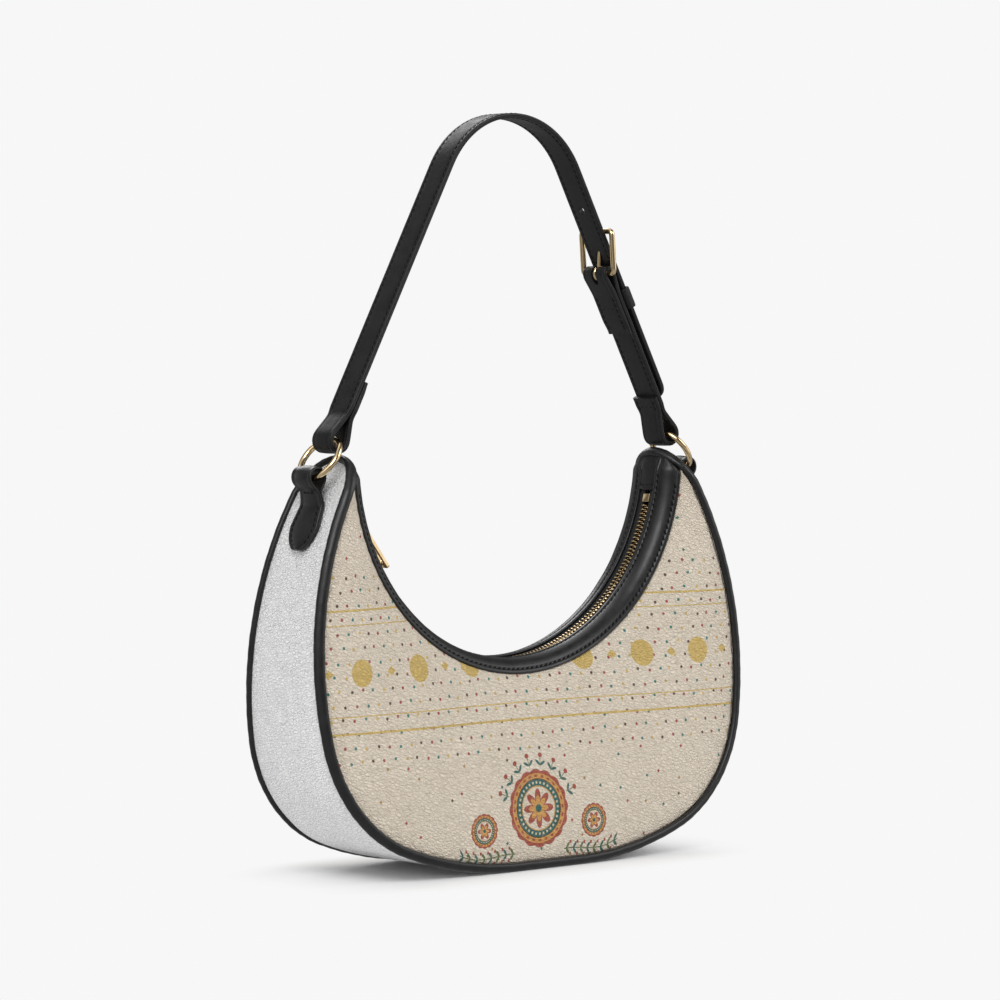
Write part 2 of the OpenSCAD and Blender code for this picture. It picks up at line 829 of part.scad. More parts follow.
module buckle_prong() {
    color("gold")
        heel_frame()
            rotate([0, prong_rise_angle, 0]) {
                rotate([90, 0, 0])
                    rotate_extrude($fn = 48)
                        translate([prong_eye_r, 0])
                            circle(d = prong_d, $fn = 24);
                translate([0, 0, prong_eye_r])
                    cylinder(h = prong_l - prong_eye_r, d = prong_d, $fn = 32);
                translate([0, 0, prong_l])
                    sphere(d = prong_d, $fn = 32);
            }
}

// Tabs

tab_ply_t = 1.2;
tab_seat = gusset_out + gap + tab_ply_t / 2;
tab_lift = tab_ply_t + gap / 3;
tab_hole_r = loop_hole_r + gap;
tab_loop_r = tab_hole_r + tab_ply_t / 2;
// Headings of the side arc at the top and the lower end of the tab
tab_top_turn = side_turn - 1;
tab_steps = 8;
tab_low_turn = tab_top_turn - tab_l / side_arc_r * 180 / PI;
tab_run = [for (k = [0 : tab_steps])
    let (h = tab_low_turn + (tab_top_turn - tab_low_turn) * k / tab_steps)
    concat(along(corner_c, side_arc_r, corner_turn, h), [h])];
tab_inner = [for (q = tab_run) shifted(q, tab_seat)];
tab_outer = [for (q = tab_run) shifted(q, tab_seat + tab_lift)];
// The plies leave the gusset together and part at a crease below the loop
tab_bend = shifted(tab_run[tab_steps], tab_seat + tab_lift / 2);
tab_way = unit(low_loop - tab_bend);
tab_side = -side_of(tab_way);
tab_crease = low_loop - tab_crease_d * tab_way;
// Half of the way between the plies at the bend, along the line that halves its angle
tab_face = [sin(tab_top_turn), -cos(tab_top_turn)];
tab_mitre = (tab_side + tab_face) * tab_lift / 2 / (1 + tab_side * tab_face);
tab_path = concat([for (k = [0 : tab_steps - 1]) tab_inner[k]], [tab_bend - tab_mitre],
    wrap(tab_crease - tab_side * tab_lift / 2, low_loop, tab_loop_r,
        tab_crease + tab_side * tab_lift / 2, -1, 16),
    [tab_bend + tab_mitre], [for (k = [tab_steps - 1 : -1 : 0]) tab_outer[k]]);
tab_low_z = tab_run[0][1];
tab_neck_w = loop_w;

// The tab seen from the side: a neck that widens to a round end
module tab_outline() {
    round_z = tab_low_z + tab_w / 2;
    rotate([90, 0, 90])
        linear_extrude(height = 2 * ring_x) {
            translate([0, round_z])
                circle(d = tab_w);
            polygon([[-tab_w / 2, round_z], [tab_w / 2, round_z],
                [tab_neck_w / 2, tab_crease[1]], [tab_neck_w / 2, ring_z + ring_r],
                [-tab_neck_w / 2, ring_z + ring_r], [-tab_neck_w / 2, tab_crease[1]]]);
        }
}

module tab() {
    intersection() {
        ribbon(tab_path, -tab_ply_t / 2, tab_ply_t / 2, tab_w);
        tab_outline();
    }
}

module left_tab() {
    color("black") mirror([1, 0, 0]) tab();
}

module right_tab() {
    color("black") tab();
}

front_panel();
back_panel();
gusset();
piping();
piping_core();
front_placket();
back_placket();
left_end_patch();
right_end_patch();
front_lining();
back_lining();
gusset_lining();
base_board();
zip_tape_front();
zip_tape_back();
zip_teeth_front();
zip_teeth_back();
zip_bottom_stop();
zip_top_stops();
zip_slider();
zip_puller();
left_tab();
right_tab();
left_ring();
right_ring();
long_strap();
long_strap_backing();
short_strap();
short_strap_backing();
keeper_loop();
buckle_frame();
buckle_prong();
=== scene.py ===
"""Half moon shoulder bag: the visible pieces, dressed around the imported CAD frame.

Sizes are in millimetres in the helpers and become metres in the meshes. X runs along the width,
the front panel looks along -Y, and Z is up. The helpers follow the same named sizes as the CAD.
"""
import math

import bmesh
import bpy
import numpy as np
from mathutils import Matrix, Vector

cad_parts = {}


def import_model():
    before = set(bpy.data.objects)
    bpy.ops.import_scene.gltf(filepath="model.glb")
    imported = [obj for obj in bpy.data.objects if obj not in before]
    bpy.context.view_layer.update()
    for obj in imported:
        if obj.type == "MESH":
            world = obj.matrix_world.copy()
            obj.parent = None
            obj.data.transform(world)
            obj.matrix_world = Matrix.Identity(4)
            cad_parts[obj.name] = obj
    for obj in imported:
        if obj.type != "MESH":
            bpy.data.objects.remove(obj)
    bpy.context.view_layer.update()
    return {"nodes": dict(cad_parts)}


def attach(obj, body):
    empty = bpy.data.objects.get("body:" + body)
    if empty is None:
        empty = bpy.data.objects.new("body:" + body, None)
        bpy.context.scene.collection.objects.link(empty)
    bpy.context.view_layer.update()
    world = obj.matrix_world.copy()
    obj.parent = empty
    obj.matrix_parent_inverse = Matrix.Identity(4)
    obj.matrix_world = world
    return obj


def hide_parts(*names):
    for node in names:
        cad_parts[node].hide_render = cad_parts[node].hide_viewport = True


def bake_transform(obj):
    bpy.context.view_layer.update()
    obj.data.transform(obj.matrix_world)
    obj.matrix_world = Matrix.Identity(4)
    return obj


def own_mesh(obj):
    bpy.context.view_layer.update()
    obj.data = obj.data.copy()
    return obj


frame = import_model()
MM = 0.001
rad = math.radians
SIDES, ENDS = ((-1, "left"), (1, "right")), ((-1, "front"), (1, "back"))

# ---------------------------------------------------------------- camera

TARGET = Vector((-0.0007, 0.0006, 0.1812))
AZIMUTH, ELEVATION, DISTANCE = rad(-41.07), rad(2.32), 2.0
FOCAL_PIXELS, PICTURE_PIXELS, SENSOR = 4001, 1000, 36


def link(name, data):
    thing = bpy.data.objects.new(name, data)
    bpy.context.scene.collection.objects.link(thing)
    return thing


back = Vector((math.sin(AZIMUTH) * math.cos(ELEVATION), -math.cos(AZIMUTH) * math.cos(ELEVATION),
               math.sin(ELEVATION)))
camera = link("camera", bpy.data.cameras.new("camera"))
camera.location = TARGET + back * DISTANCE
camera.rotation_mode = "QUATERNION"
camera.rotation_quaternion = (-back).to_track_quat("-Z", "Y")
camera.data.sensor_width = SENSOR
camera.data.lens = FOCAL_PIXELS / PICTURE_PIXELS * SENSOR
camera.data.clip_start, camera.data.clip_end = 0.05, 50
bpy.context.scene.camera = camera

# ---------------------------------------------------------------- sizes, as in the CAD source

BASE_HALF, BASE_Z = 20, 2.1
COLS = (2, 8, 16, 27, 32)           # outline columns at which the arcs start and end
TURNS = (0, 20, 79, 118, 130)       # headings there
RADII = (200, 72, 175, 115)
BASE_DEPTH, TIP_DEPTH, ARCH_H = 70, 40, 19
LEATHER_T, LINING_T, BOARD_T, GAP = 1.6, 0.6, 1.5, 0.3
PIPING_R, CORE_R = 2.5, 1.5
SHOULDER_R, SLOT_HALF, PLACKET_T, SHOULDER_TURN = 12.5, 5.7, 1.2, 66
TAPE_T, TOOTH_H, TOOTH_REACH = 0.7, 2.2, 2.4
ZIP_TURN, SLIDER_TURN, STOP_TURN = 79, -73.5, 76.5
SLIDER_L, SLIDER_W, PULLER_L, PULLER_W, PULLER_T, PULLER_TURN = 10, 9, 30, 5.6, 1.6, 17
STRAP_W, LOOP_W, PLY_T, APEX_R = 16.5, 14.5, 1.2, 47
RING_R, RING_WIRE, RING_LEAN, LEG_LEAN = 12, 3, 38, 28
TAB_L, TAB_CREASE_D, TAB_W, TAB_T = 23, 7, 20, 1.2
HEEL_D, BUCKLE_L, BUCKLE_INNER_W, BUCKLE_WIRE, PRONG_D = 93, 21.5, 19.5, 3, 2
HOLE_PITCH, HOLE_D, KEEPER_L, KEEPER_T = 24, 4, 11, 1.1


def after(p, r, h0, h):
    """The point reached from p along an arc of radius r between two headings."""
    h0, h = np.radians(h0), np.radians(h)
    return p[0] + r * (np.sin(h) - np.sin(h0)), p[1] + r * (np.cos(h0) - np.cos(h))


CORNERS = [(BASE_HALF, BASE_Z)]
for radius, h0, h1 in zip(RADII, TURNS, TURNS[1:]):
    CORNERS.append(after(CORNERS[-1], radius, h0, h1))
TIP = CORNERS[-1]
ARCH_Z = TIP[1] - ARCH_H
MOUTH_Z, MOUTH_R = TIP[1], TIP[0] - 3.2
EDGE_R = MOUTH_R + SHOULDER_R * (1 - math.cos(rad(SHOULDER_TURN)))
EDGE_HALF = SLOT_HALF + SHOULDER_R * math.sin(rad(SHOULDER_TURN))
TAPE_R = MOUTH_R + PLACKET_T + GAP
TOOTH_R = TAPE_R + TAPE_T / 2


def outline(c, out=0.0):
    """X, Z and heading of the bag's outline, moved outward by out, at columns c: negative ones are its left half."""
    c = np.asarray(c, float)
    n = np.abs(c)
    x, z, h = BASE_HALF / COLS[0] * np.minimum(n, COLS[0]), np.full(c.shape, float(BASE_Z)), 0 * n
    for k in range(4):
        turn = TURNS[k] + (TURNS[k + 1] - TURNS[k]) * (n - COLS[k]) / (COLS[k + 1] - COLS[k])
        ax, az = after(CORNERS[k], RADII[k], TURNS[k], turn)
        on = n > COLS[k]
        x, z, h = np.where(on, ax, x), np.where(on, az, z), np.where(on, turn, h)
    return np.sign(c) * (x + out * np.sin(np.radians(h))), z - out * np.cos(np.radians(h)), h


def half_depth(z, margin=0.0):
    """Half of the distance between the pipings at height z, drawn in by a margin."""
    z = np.asarray(z, float)
    low = BASE_DEPTH / 2 - (z - BASE_Z) * (BASE_DEPTH - TIP_DEPTH) / 2 / (ARCH_Z - BASE_Z) - margin
    rise = np.clip((z - ARCH_Z) / (ARCH_H - margin), 0, 1)
    return np.where(z < ARCH_Z, low, (TIP_DEPTH / 2 - margin) * np.sqrt(1 - rise ** 2))


def polar(r, y, turn):
    """Points at radius r about the mouth's axis and at place y along it, at an angle from straight down."""
    r, y, turn = np.broadcast_arrays(r, y, turn)
    return np.stack([r * np.sin(turn), y, MOUTH_Z - r * np.cos(turn)], axis=-1)


def bump_fn(x, centre, width):
    return np.exp(-((x - centre) / width) ** 2)


def ease(x, a, b):
    t = np.clip((x - a) / (b - a), 0, 1)
    return t * t * (3 - 2 * t)


# ---------------------------------------------------------------- mesh helpers. A shape is (vertices, faces)


def to_object(name, shape, weld=False):
    """An object with even normals in the shape's own unit. weld also merges the points that coincide."""
    mesh = bpy.data.meshes.new(name)
    mesh.from_pydata(np.asarray(shape[0], float).tolist(), [], shape[1])
    bm = bmesh.new()
    bm.from_mesh(mesh)
    if weld:
        bmesh.ops.remove_doubles(bm, verts=bm.verts, dist=2e-6)
        bmesh.ops.dissolve_degenerate(bm, edges=bm.edges, dist=1e-6)
    bmesh.ops.recalc_face_normals(bm, faces=bm.faces)
    bm.to_mesh(mesh)
    bm.free()
    return link(name, mesh)


def add(name, shape, body, node, mat, sharp=40, flip=(1, 1, 1)):
    """Makes a piece from millimetres, mirrored by flip, and lets it ride on its body in place of its CAD node."""
    piece = to_object(name, (np.asarray(shape[0], float) * flip * MM, shape[1]), weld=True)
    mesh = piece.data
    mesh.polygons.foreach_set("use_smooth", [True] * len(mesh.polygons))
    mesh.set_sharp_from_angle(angle=rad(sharp))
    mesh.materials.append(mat)
    if body:
        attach(piece, body)
    if node:
        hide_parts(node)
    return piece


def loft(rings, closed=False):
    """Runs a skin through rings of points. The rings' own points always close round, and open ends are capped."""
    rings = np.asarray(rings, float)
    n, m = rings.shape[:2]
    faces = []
    for r in range(n if closed else n - 1):
        a, b = r * m, ((r + 1) % n) * m
        faces += [(a + j, a + (j + 1) % m, b + (j + 1) % m, b + j) for j in range(m)]
    if not closed:
        faces += [tuple(range(m - 1, -1, -1)), tuple(range((n - 1) * m, n * m))]
    return rings.reshape(-1, 3), faces


def shell(near, far):
    """A closed shell between two grids of points: two faces and a strip along each of four edges."""
    near, far = np.asarray(near, float), np.asarray(far, float)
    n, m = near.shape[:2]
    far0 = n * m
    faces = []
    for r in range(n - 1):
        for j in range(m - 1):
            a, b = r * m + j, (r + 1) * m + j
            faces += [(a, a + 1, b + 1, b), (far0 + a, far0 + b, far0 + b + 1, far0 + a + 1)]
    rim = ([(0, j) for j in range(m)] + [(r, m - 1) for r in range(1, n)]
           + [(n - 1, j) for j in range(m - 2, -1, -1)] + [(r, 0) for r in range(n - 2, 0, -1)])
    rim = [r * m + j for r, j in rim]
    faces += [(b, a, far0 + a, far0 + b) for a, b in zip(rim, rim[1:] + rim[:1])]
    return np.concatenate([near.reshape(-1, 3), far.reshape(-1, 3)]), faces


def merge(shapes):
    verts, faces, base = [], [], 0
    for v, f in shapes:
        verts.append(np.asarray(v, float))
        faces += [tuple(i + base for i in face) for face in f]
        base += len(v)
    return np.concatenate(verts), faces


def turned(shape, turn, lift):
    """A shape turned about Y by an angle in degrees, then lifted."""
    p, c, s = np.asarray(shape[0], float), math.cos(rad(turn)), math.sin(rad(turn))
    return np.stack([p[:, 0] * c - p[:, 2] * s, p[:, 1], p[:, 0] * s + p[:, 2] * c + lift], axis=1), shape[1]


def unit(v):
    v = np.asarray(v, float)
    return v / np.maximum(np.linalg.norm(v, axis=-1, keepdims=True), 1e-12)


def tube(path, radius, sides, up, closed=False, flat=1.0):
    """A round wire along a path. radius may be a list, and flat squeezes it along its up direction."""
    path = np.asarray(path, float)
    t = unit(np.roll(path, -1, 0) - np.roll(path, 1, 0)) if closed else unit(np.gradient(path, axis=0))
    r = np.broadcast_to(np.asarray(radius, float), (len(path),))[:, None, None]
    up = np.broadcast_to(np.asarray(up, float), path.shape)
    up = unit(up - t * np.sum(up * t, axis=1, keepdims=True))
    a = 2 * np.pi * np.arange(sides)[None, :, None] / sides
    return loft(path[:, None] + r * (flat * np.cos(a) * up[:, None] + np.sin(a) * np.cross(t, up)[:, None]), closed)


def distances(p):
    return np.concatenate([[0], np.cumsum(np.linalg.norm(np.diff(p, axis=0), axis=1))])


def between(at, marks, p):
    """Points, or directions, at places along a run that has the points p at its marks."""
    return np.stack([np.interp(at, marks, column) for column in p.T], axis=1)


def resample(points, step, rounds=3):
    """Even points along a polyline, with its corners softened and its ends kept."""
    p = np.asarray(points, float)
    length = distances(p)
    q = between(np.linspace(0, length[-1], max(3, int(round(length[-1] / step)) + 1)), length, p)
    for _ in range(rounds):
        q[1:-1] = (q[:-2] + 2 * q[1:-1] + q[2:]) / 4
    return q


# Where a stitch is measured along its length, its radius there, and how far it stands out in its radius
STITCH_AT = np.array([-0.5, -0.42, -0.2, 0.2, 0.42, 0.5])
STITCH_R = np.array([0.35, 0.85, 1, 1, 0.85, 0.35])
STITCH_OUT, STITCH_SUNK = np.array([-0.5, -0.1, 0.1, 0.1, -0.1, -0.5]), 0.06


def sew(name, runs, body, mat, pitch=3.2, length=2.35, r=0.34, slant=0.26):
    """Thread along runs of (points, outward directions): one slanted capsule a stitch, sunk in the leather."""
    shapes = []
    for points, normals in runs:
        p, normals = np.asarray(points, float), unit(normals)
        s = distances(p)
        count = max(1, int(s[-1] // pitch))
        for k in range(count):
            mid = (s[-1] - count * pitch) / 2 + (k + 0.5) * pitch
            at = mid + length * STITCH_AT
            q, m = between(at, s, p), unit(between(at, s, normals))
            q += np.cross(m, unit(q[-1] - q[0])) * (slant * (at - mid))[:, None]
            depth = STITCH_OUT * r - STITCH_SUNK
            shapes.append(tube(q + m * depth[:, None], r * STITCH_R, 7, m, flat=0.7))
    return add(name, merge(shapes), body, None, mat, 80)


def rounded_rect(hx, hy, r, k):
    """Points of a rounded rectangle in a plane, counter-clockwise, k to a corner."""
    r = min(r, hx - 1e-3, hy - 1e-3)
    return np.array([(sx * (hx - r) + r * math.cos(a), sy * (hy - r) + r * math.sin(a))
                     for sx, sy, a0 in ((1, 1, 0), (-1, 1, 90), (-1, -1, 180), (1, -1, 270))
                     for a in np.radians(np.linspace(a0, a0 + 90, k))])


def slab(outline_of, z0, z1, bevel, steps=3):
    """A plate with rounded rims: outline_of(inset) gives its points in the plane."""
    rings = []
    for z, way in ((z0, 1), (z1, -1)):
        for a in np.linspace(0, math.pi / 2, steps)[::way]:
            p = outline_of(bevel * (1 - math.sin(a)))
            rings.append(np.column_stack([p, np.full(len(p), z + way * bevel * (1 - math.cos(a)))]))
    return loft(rings)


def boxy(lx, ly, lz, bevel, centre=(0, 0, 0)):
    """A block with rounded edges."""
    v, f = slab(lambda inset: rounded_rect(lx / 2 - inset, ly / 2 - inset, bevel, 4), -lz / 2, lz / 2, bevel)
    return v + np.array(centre), f


def cut(shape, cutters, bevel=0.0):
    """The shape less the cutters, through Blender's exact boolean."""
    target, tool = to_object("cut_target", shape), to_object("cut_tool", merge(cutters))
    mod = target.modifiers.new("cut", "BOOLEAN")
    mod.operation, mod.object, mod.solver = "DIFFERENCE", tool, "EXACT"
    if bevel:
        rim = target.modifiers.new("rim", "BEVEL")
        rim.width, rim.segments, rim.limit_method, rim.angle_limit = bevel, 2, "ANGLE", rad(50)
    bpy.context.view_layer.update()
    done = bpy.data.meshes.new_from_object(target.evaluated_get(bpy.context.evaluated_depsgraph_get()))
    result = np.array([p.co for p in done.vertices]), [tuple(p.vertices) for p in done.polygons]
    for thing in (target, tool):
        bpy.data.objects.remove(thing)
    return result


# ---------------------------------------------------------------- node helpers


def new_node(tree, kind, inputs, **settings):
    """A shader node. inputs, a list or a dict, holds the links or values of its sockets."""
    made = tree.nodes.new("ShaderNode" + kind)
    for key, value in settings.items():
        setattr(made, key, value)
    for key, value in (inputs.items() if isinstance(inputs, dict) else enumerate(inputs)):
        if isinstance(value, Num):
            value = value.out
        if isinstance(value, bpy.types.NodeSocket):
            tree.links.new(value, made.inputs[key])
        else:
            made.inputs[key].default_value = value
    return made


class Num:
    """A number in a node tree, which adds, multiplies and compares like a plain one."""

    def __init__(self, tree, out):
        self.tree, self.out = tree, out

    def op(self, kind, *others, clamp=False):
        return Num(self.tree, new_node(self.tree, "Math", (self, *others), operation=kind, use_clamp=clamp).outputs[0])

    def __add__(self, o): return self.op("ADD", o)
    def __sub__(self, o): return self.op("SUBTRACT", o)
    def __rsub__(self, o): return self.op("MULTIPLY_ADD", -1.0, o)
    def __mul__(self, o): return self.op("MULTIPLY", o)
    def __truediv__(self, o): return self.op("DIVIDE", o)
    def __abs__(self): return self.op("ABSOLUTE")
    def __neg__(self): return self.op("MULTIPLY", -1.0)
    def least(self, o): return self.op("MINIMUM", o)
    def most(self, o): return self.op("MAXIMUM", o)
    def square(self): return self.op("MULTIPLY", self)
    def sin(self): return self.op("SINE")
    def cos(self): return self.op("COSINE")
    def round(self): return self.op("ROUND")
    def mod(self, n): return self.op("FLOORED_MODULO", n)
    def near(self, place): return abs(self - float(place)).under(0.5, 0.01)
    def under(self, edge, soft): return ((edge - self) / soft + 0.5).op("ADD", 0.0, clamp=True)

    def spread(self, a, b, c=0, d=1):
        """The number with its span from a to b stretched over c to d, and held there."""
        return Num(self.tree, new_node(self.tree, "MapRange", (self, a, b, c, d)).outputs[0])


def hypot(a, b):
    return (a.square() + b.square()).op("SQRT")


def split(tree, vector):
    return [Num(tree, out) for out in new_node(tree, "SeparateXYZ", [vector]).outputs]


class Stuff:
    """A material under construction, with the piece's own place in millimetres."""

    def __init__(self, name, slot_name, rough=0.5, **fixed):
        self.mat = bpy.data.materials.new(name)
        self.mat.use_nodes = True
        self.tree = self.mat.node_tree
        self.bsdf = self.tree.nodes["Principled BSDF"]
        for key, value in {"Roughness": rough, **fixed}.items():
            self.bsdf.inputs[key.replace("_", " ")].default_value = value
        place = new_node(self.tree, "TexCoord", ()).outputs["Object"]
        self.spot = new_node(self.tree, "VectorMath", {0: place, "Scale": 1 / MM}, operation="SCALE").outputs[0]
        self.x, self.y, self.z = split(self.tree, self.spot)

    def number(self, kind, inputs, **settings):
        return Num(self.tree, new_node(self.tree, kind, inputs, **settings).outputs[0])

    def vector(self, *xyz):
        return new_node(self.tree, "CombineXYZ", xyz).outputs[0]

    def noise(self, size, detail, at=None):
        """Cloudy noise around 0.5 whose lumps are about size millimetres across."""
        return self.number("TexNoise", {"Scale": 1 / size, "Detail": detail, "Roughness": 0.55,
                                        "Vector": at or self.spot})

    def domes(self, size, smooth, at=None):
        """Soft distances to the middles of cells of about size millimetres."""
        return self.number("TexVoronoi", {"Scale": 1 / size, "Smoothness": smooth, "Vector": at or self.spot},
                           feature="SMOOTH_F1")

    def pebbles(self, size, at):
        """Heights of pebbled leather, from 0 in its creases to about 1."""
        rims = self.number("TexVoronoi", {"Scale": 1 / size, "Vector": at}, feature="DISTANCE_TO_EDGE")
        return rims.spread(0.0, 0.26) * 0.6 + (1.0 - self.domes(size, 0.5, at)) * 0.6

    def dice(self, *abc):
        """An even random number for each three whole numbers."""
        return self.number("TexWhiteNoise", [self.vector(*abc)], noise_dimensions="3D")

    def tint(self, base, colour, share):
        """base painted over with a colour by a share. Both are colours or sockets."""
        base, colour = ((*c, 1) if isinstance(c, tuple) else c for c in (base, colour))
        return new_node(self.tree, "Mix", {0: share, 6: base, 7: colour}, data_type="RGBA").outputs[2]

    def paint(self, colour, rough, *reliefs, strength=1.0):
        """Wires colour, roughness and bump. Each relief is a height and its depth in millimetres."""
        self.tree.links.new(colour, self.bsdf.inputs["Base Color"])
        if rough is not None:
            self.tree.links.new(rough.out, self.bsdf.inputs["Roughness"])
        normal = {}
        for height, depth in reliefs:
            bump = new_node(self.tree, "Bump", {"Strength": strength, "Distance": depth * MM, "Height": height,
                                                **normal})
            normal = {"Normal": bump.outputs[0]}
        self.tree.links.new(normal["Normal"], self.bsdf.inputs["Normal"])
        return self.mat


# ---------------------------------------------------------------- materials


def black_leather(name, slot_name, rough, base, coat, shine):
    s = Stuff(name, slot_name, Specular_IOR_Level=shine, Coat_Weight=coat, Coat_Roughness=rough - 0.08)
    pores, fine, creases = s.domes(0.85, 0.35), s.noise(0.35, 2), s.noise(7, 4)
    colour = s.tint(base, tuple(1.9 * c for c in base), creases.spread(0.35, 0.75))
    # Painted shade: the grain's pits are tinted near black, as if in shadow
    colour = s.tint(colour, (0.004, 0.004, 0.004), pores.spread(0.35, 0.7, 0.5, 0))
    gloss = creases.spread(0.3, 0.7, rough - 0.06, rough + 0.08) + fine * 0.06
    return s.paint(colour, gloss, (pores * 0.8 + fine * 0.3, 0.05), (creases, 0.3), strength=0.7)


def thread(name, slot_name):
    s = Stuff(name, slot_name, rough=0.75, Specular_IOR_Level=0.2)
    twist = ((s.x + s.y * 0.7 + s.z * 1.3) * 9.0).sin() * 0.5 + 0.5
    return s.paint(s.tint((0.002, 0.002, 0.002), (0.008, 0.008, 0.008), twist), None, (twist, 0.06))


def gold():
    s = Stuff("gold_plate", "gold_metal", Metallic=1.0)
    wear = s.noise(2.6, 4)
    scratch = s.noise(0.5, 3, s.vector(s.x * 0.3, s.y * 2.0, s.z * 0.7))
    colour = s.tint((0.93, 0.72, 0.43), (0.83, 0.60, 0.31), wear.spread(0.4, 0.75))
    return s.paint(colour, wear.spread(0.3, 0.7, 0.11, 0.2), (scratch, 0.004), strength=0.4)


CREAM = (0.715, 0.627, 0.511)
GOLD_INK, DARK_INK, MAROON, TEAL = (0.60, 0.42, 0.115), (0.085, 0.035, 0.02), (0.36, 0.045, 0.05), (0.02, 0.19, 0.17)
DOT_INKS = (DARK_INK, MAROON, TEAL, GOLD_INK)
SPECK_INKS = ((0.42, 0.24, 0.07), (0.36, 0.05, 0.05), (0.03, 0.17, 0.15), (0.10, 0.05, 0.03))
RUST, OCHRE, DEEP_TEAL, OLIVE = (0.36, 0.06, 0.035), (0.62, 0.33, 0.09), (0.02, 0.13, 0.12), (0.10, 0.15, 0.05)
BEAD_INK = (0.75, 0.62, 0.42)

DOT_PITCH, DOT_FOOT, DOT_R, DOT_SHIFT = 6.77, 60.0, 0.78, 1.3
SPECK_PITCH, SPECK_SHIFT = 13.0, 9.0
LINES = ((132.2, 0.5), (125.2, 0.26), (81.8, 0.28), (73.7, 0.52))       # heights and half widths
DISC_X, DISC_Z, DISC_PITCH, DISC_R = 2.2, 102.3, 36.85, 6.6
DISC_DRIFT, DISC_SPAN = 0.0114, 0.023       # the discs stand a little closer on the right


def print_bands(s, x, z, colour):
    """Gold lines, a row of discs and diamonds, and rows of small dots."""
    worn = s.noise(0.9, 3)
    ink = worn.spread(0.25, 0.45, 0.72, 0.96)

    def shift(size, *place):
        return (s.dice(*place) - 0.5) * size

    def inked(colour, spots, kind, inks):
        for k, c in enumerate(inks):
            colour = s.tint(colour, c, spots * kind.near(k))
        return colour
    row = ((z - DOT_FOOT) / DOT_PITCH).round()
    in_rows = abs(row - 6.5).under(7.0, 0.01)
    u = x / DOT_PITCH + row * 0.5 + s.dice(row, 3.0) * 0.3
    cell = u.round()
    dx = (u - cell) * DOT_PITCH + shift(DOT_SHIFT, cell, row, 1.0)
    dz = z - (row * DOT_PITCH + DOT_FOOT) + shift(DOT_SHIFT, cell, row, 2.0)
    colour = inked(colour, hypot(dx, dz).under(DOT_R, 0.25) * in_rows * ink, (cell + row * 3.0).mod(4.0), DOT_INKS)
    # A few stray specks above and below the rows
    cu, cw = (x / SPECK_PITCH).round(), (z / SPECK_PITCH).round()
    here = s.dice(cu, cw, 5.0).under(0.6, 0.01) * (1.0 - in_rows)
    ex = x - cu * SPECK_PITCH + shift(SPECK_SHIFT, cu, cw, 6.0)
    ez = z - cw * SPECK_PITCH + shift(SPECK_SHIFT, cu, cw, 7.0)
    specks = (abs(ex) + abs(ez)).under(0.95, 0.25) * here * ink
    colour = inked(colour, specks, s.dice(cu, cw, 8.0) * 4.0 - 0.5, SPECK_INKS)
    t = (x - DISC_X) / DISC_PITCH
    p = t + t.square() * DISC_DRIFT
    span = t * DISC_SPAN + 1.0
    dv = z - DISC_Z
    gold_ink = hypot((p - p.round()) * DISC_PITCH / span, dv).under(DISC_R, 0.2)
    half_step = (p + 0.5 - (p + 0.5).round()) * DISC_PITCH / span
    gold_ink = gold_ink.most((abs(half_step) / 2.8 + abs(dv) / 2.3).under(1.0, 0.08))
    for height, half in LINES:
        gold_ink = gold_ink.most(abs(z - height + (worn - 0.5) * 0.3).under(half, 0.22))
    return s.tint(colour, GOLD_INK, gold_ink * ink)


def rosette(s, colour, x, z, size, petals, ink):
    """A round generic rosette with a scalloped rim, ringed bands and a petalled flower."""
    turn, rim = z.op("ARCTAN2", x), hypot(x, z) / size
    wave = abs((turn * petals).cos())
    beads = abs((turn * 12.0).cos()).spread(0.55, 0.95)
    small = abs((turn * 16.0).cos()).spread(0.6, 0.95)
    for share, c in (
            (rim.under(0.97, 0.02).most((rim - abs((turn * 8.0).cos()) * 0.06).under(0.96, 0.02)), RUST),
            (rim.under(0.90, 0.015), OCHRE),
            (rim.under(0.90, 0.015) * abs(rim - 0.835).under(0.032, 0.02) * beads, RUST),
            (rim.under(0.77, 0.015), DARK_INK),
            (rim.under(0.745, 0.015), DEEP_TEAL),
            (abs(rim - 0.665).under(0.03, 0.02) * small, BEAD_INK),
            (rim.under(0.585, 0.015), OCHRE),
            (rim.under(0.555, 0.015), CREAM),
            ((rim - wave * 0.27).under(0.24, 0.02), RUST),
            ((rim - wave * 0.17).under(0.17, 0.02), OCHRE),
            (rim.under(0.105, 0.02), DEEP_TEAL)):
        colour = s.tint(colour, c, share * ink)
    return colour


def leaf(u, v, cos, sin, length, width):
    """A small pointed oval that leans away from the stem by an angle of that cosine and sine."""
    return hypot((u * cos + v * sin) / length, (v * cos - u * sin) / width).under(1.0, 0.15)


def sprig(s, colour, u, v, ink):
    """One bud on a short stem with two leaves; v runs along the stem."""
    colour = s.tint(colour, OLIVE, abs(u).under(0.22, 0.15) * abs(v).under(2.6, 0.2) * ink)
    colour = s.tint(colour, DEEP_TEAL, leaf(abs(u) - 1.6, v + 0.5, 0.77, 0.64, 1.9, 0.72) * ink)
    return s.tint(colour, RUST, hypot(u, v - 3.2).under(1.15, 0.2) * ink)


MEDAL_X, MEDAL_Z, MEDAL_R, SPRIG_R, SPRIG_TURN = -5.5, 30.0, 19.0, 23.0, math.pi / 9
STEM_PITCH, STEM_MID, STEM_HALF = 4.6, 34.0, 18.0
SMALL_ASIDE, SMALL_Z, SMALL_R = 36.0, 21.5, 8.4


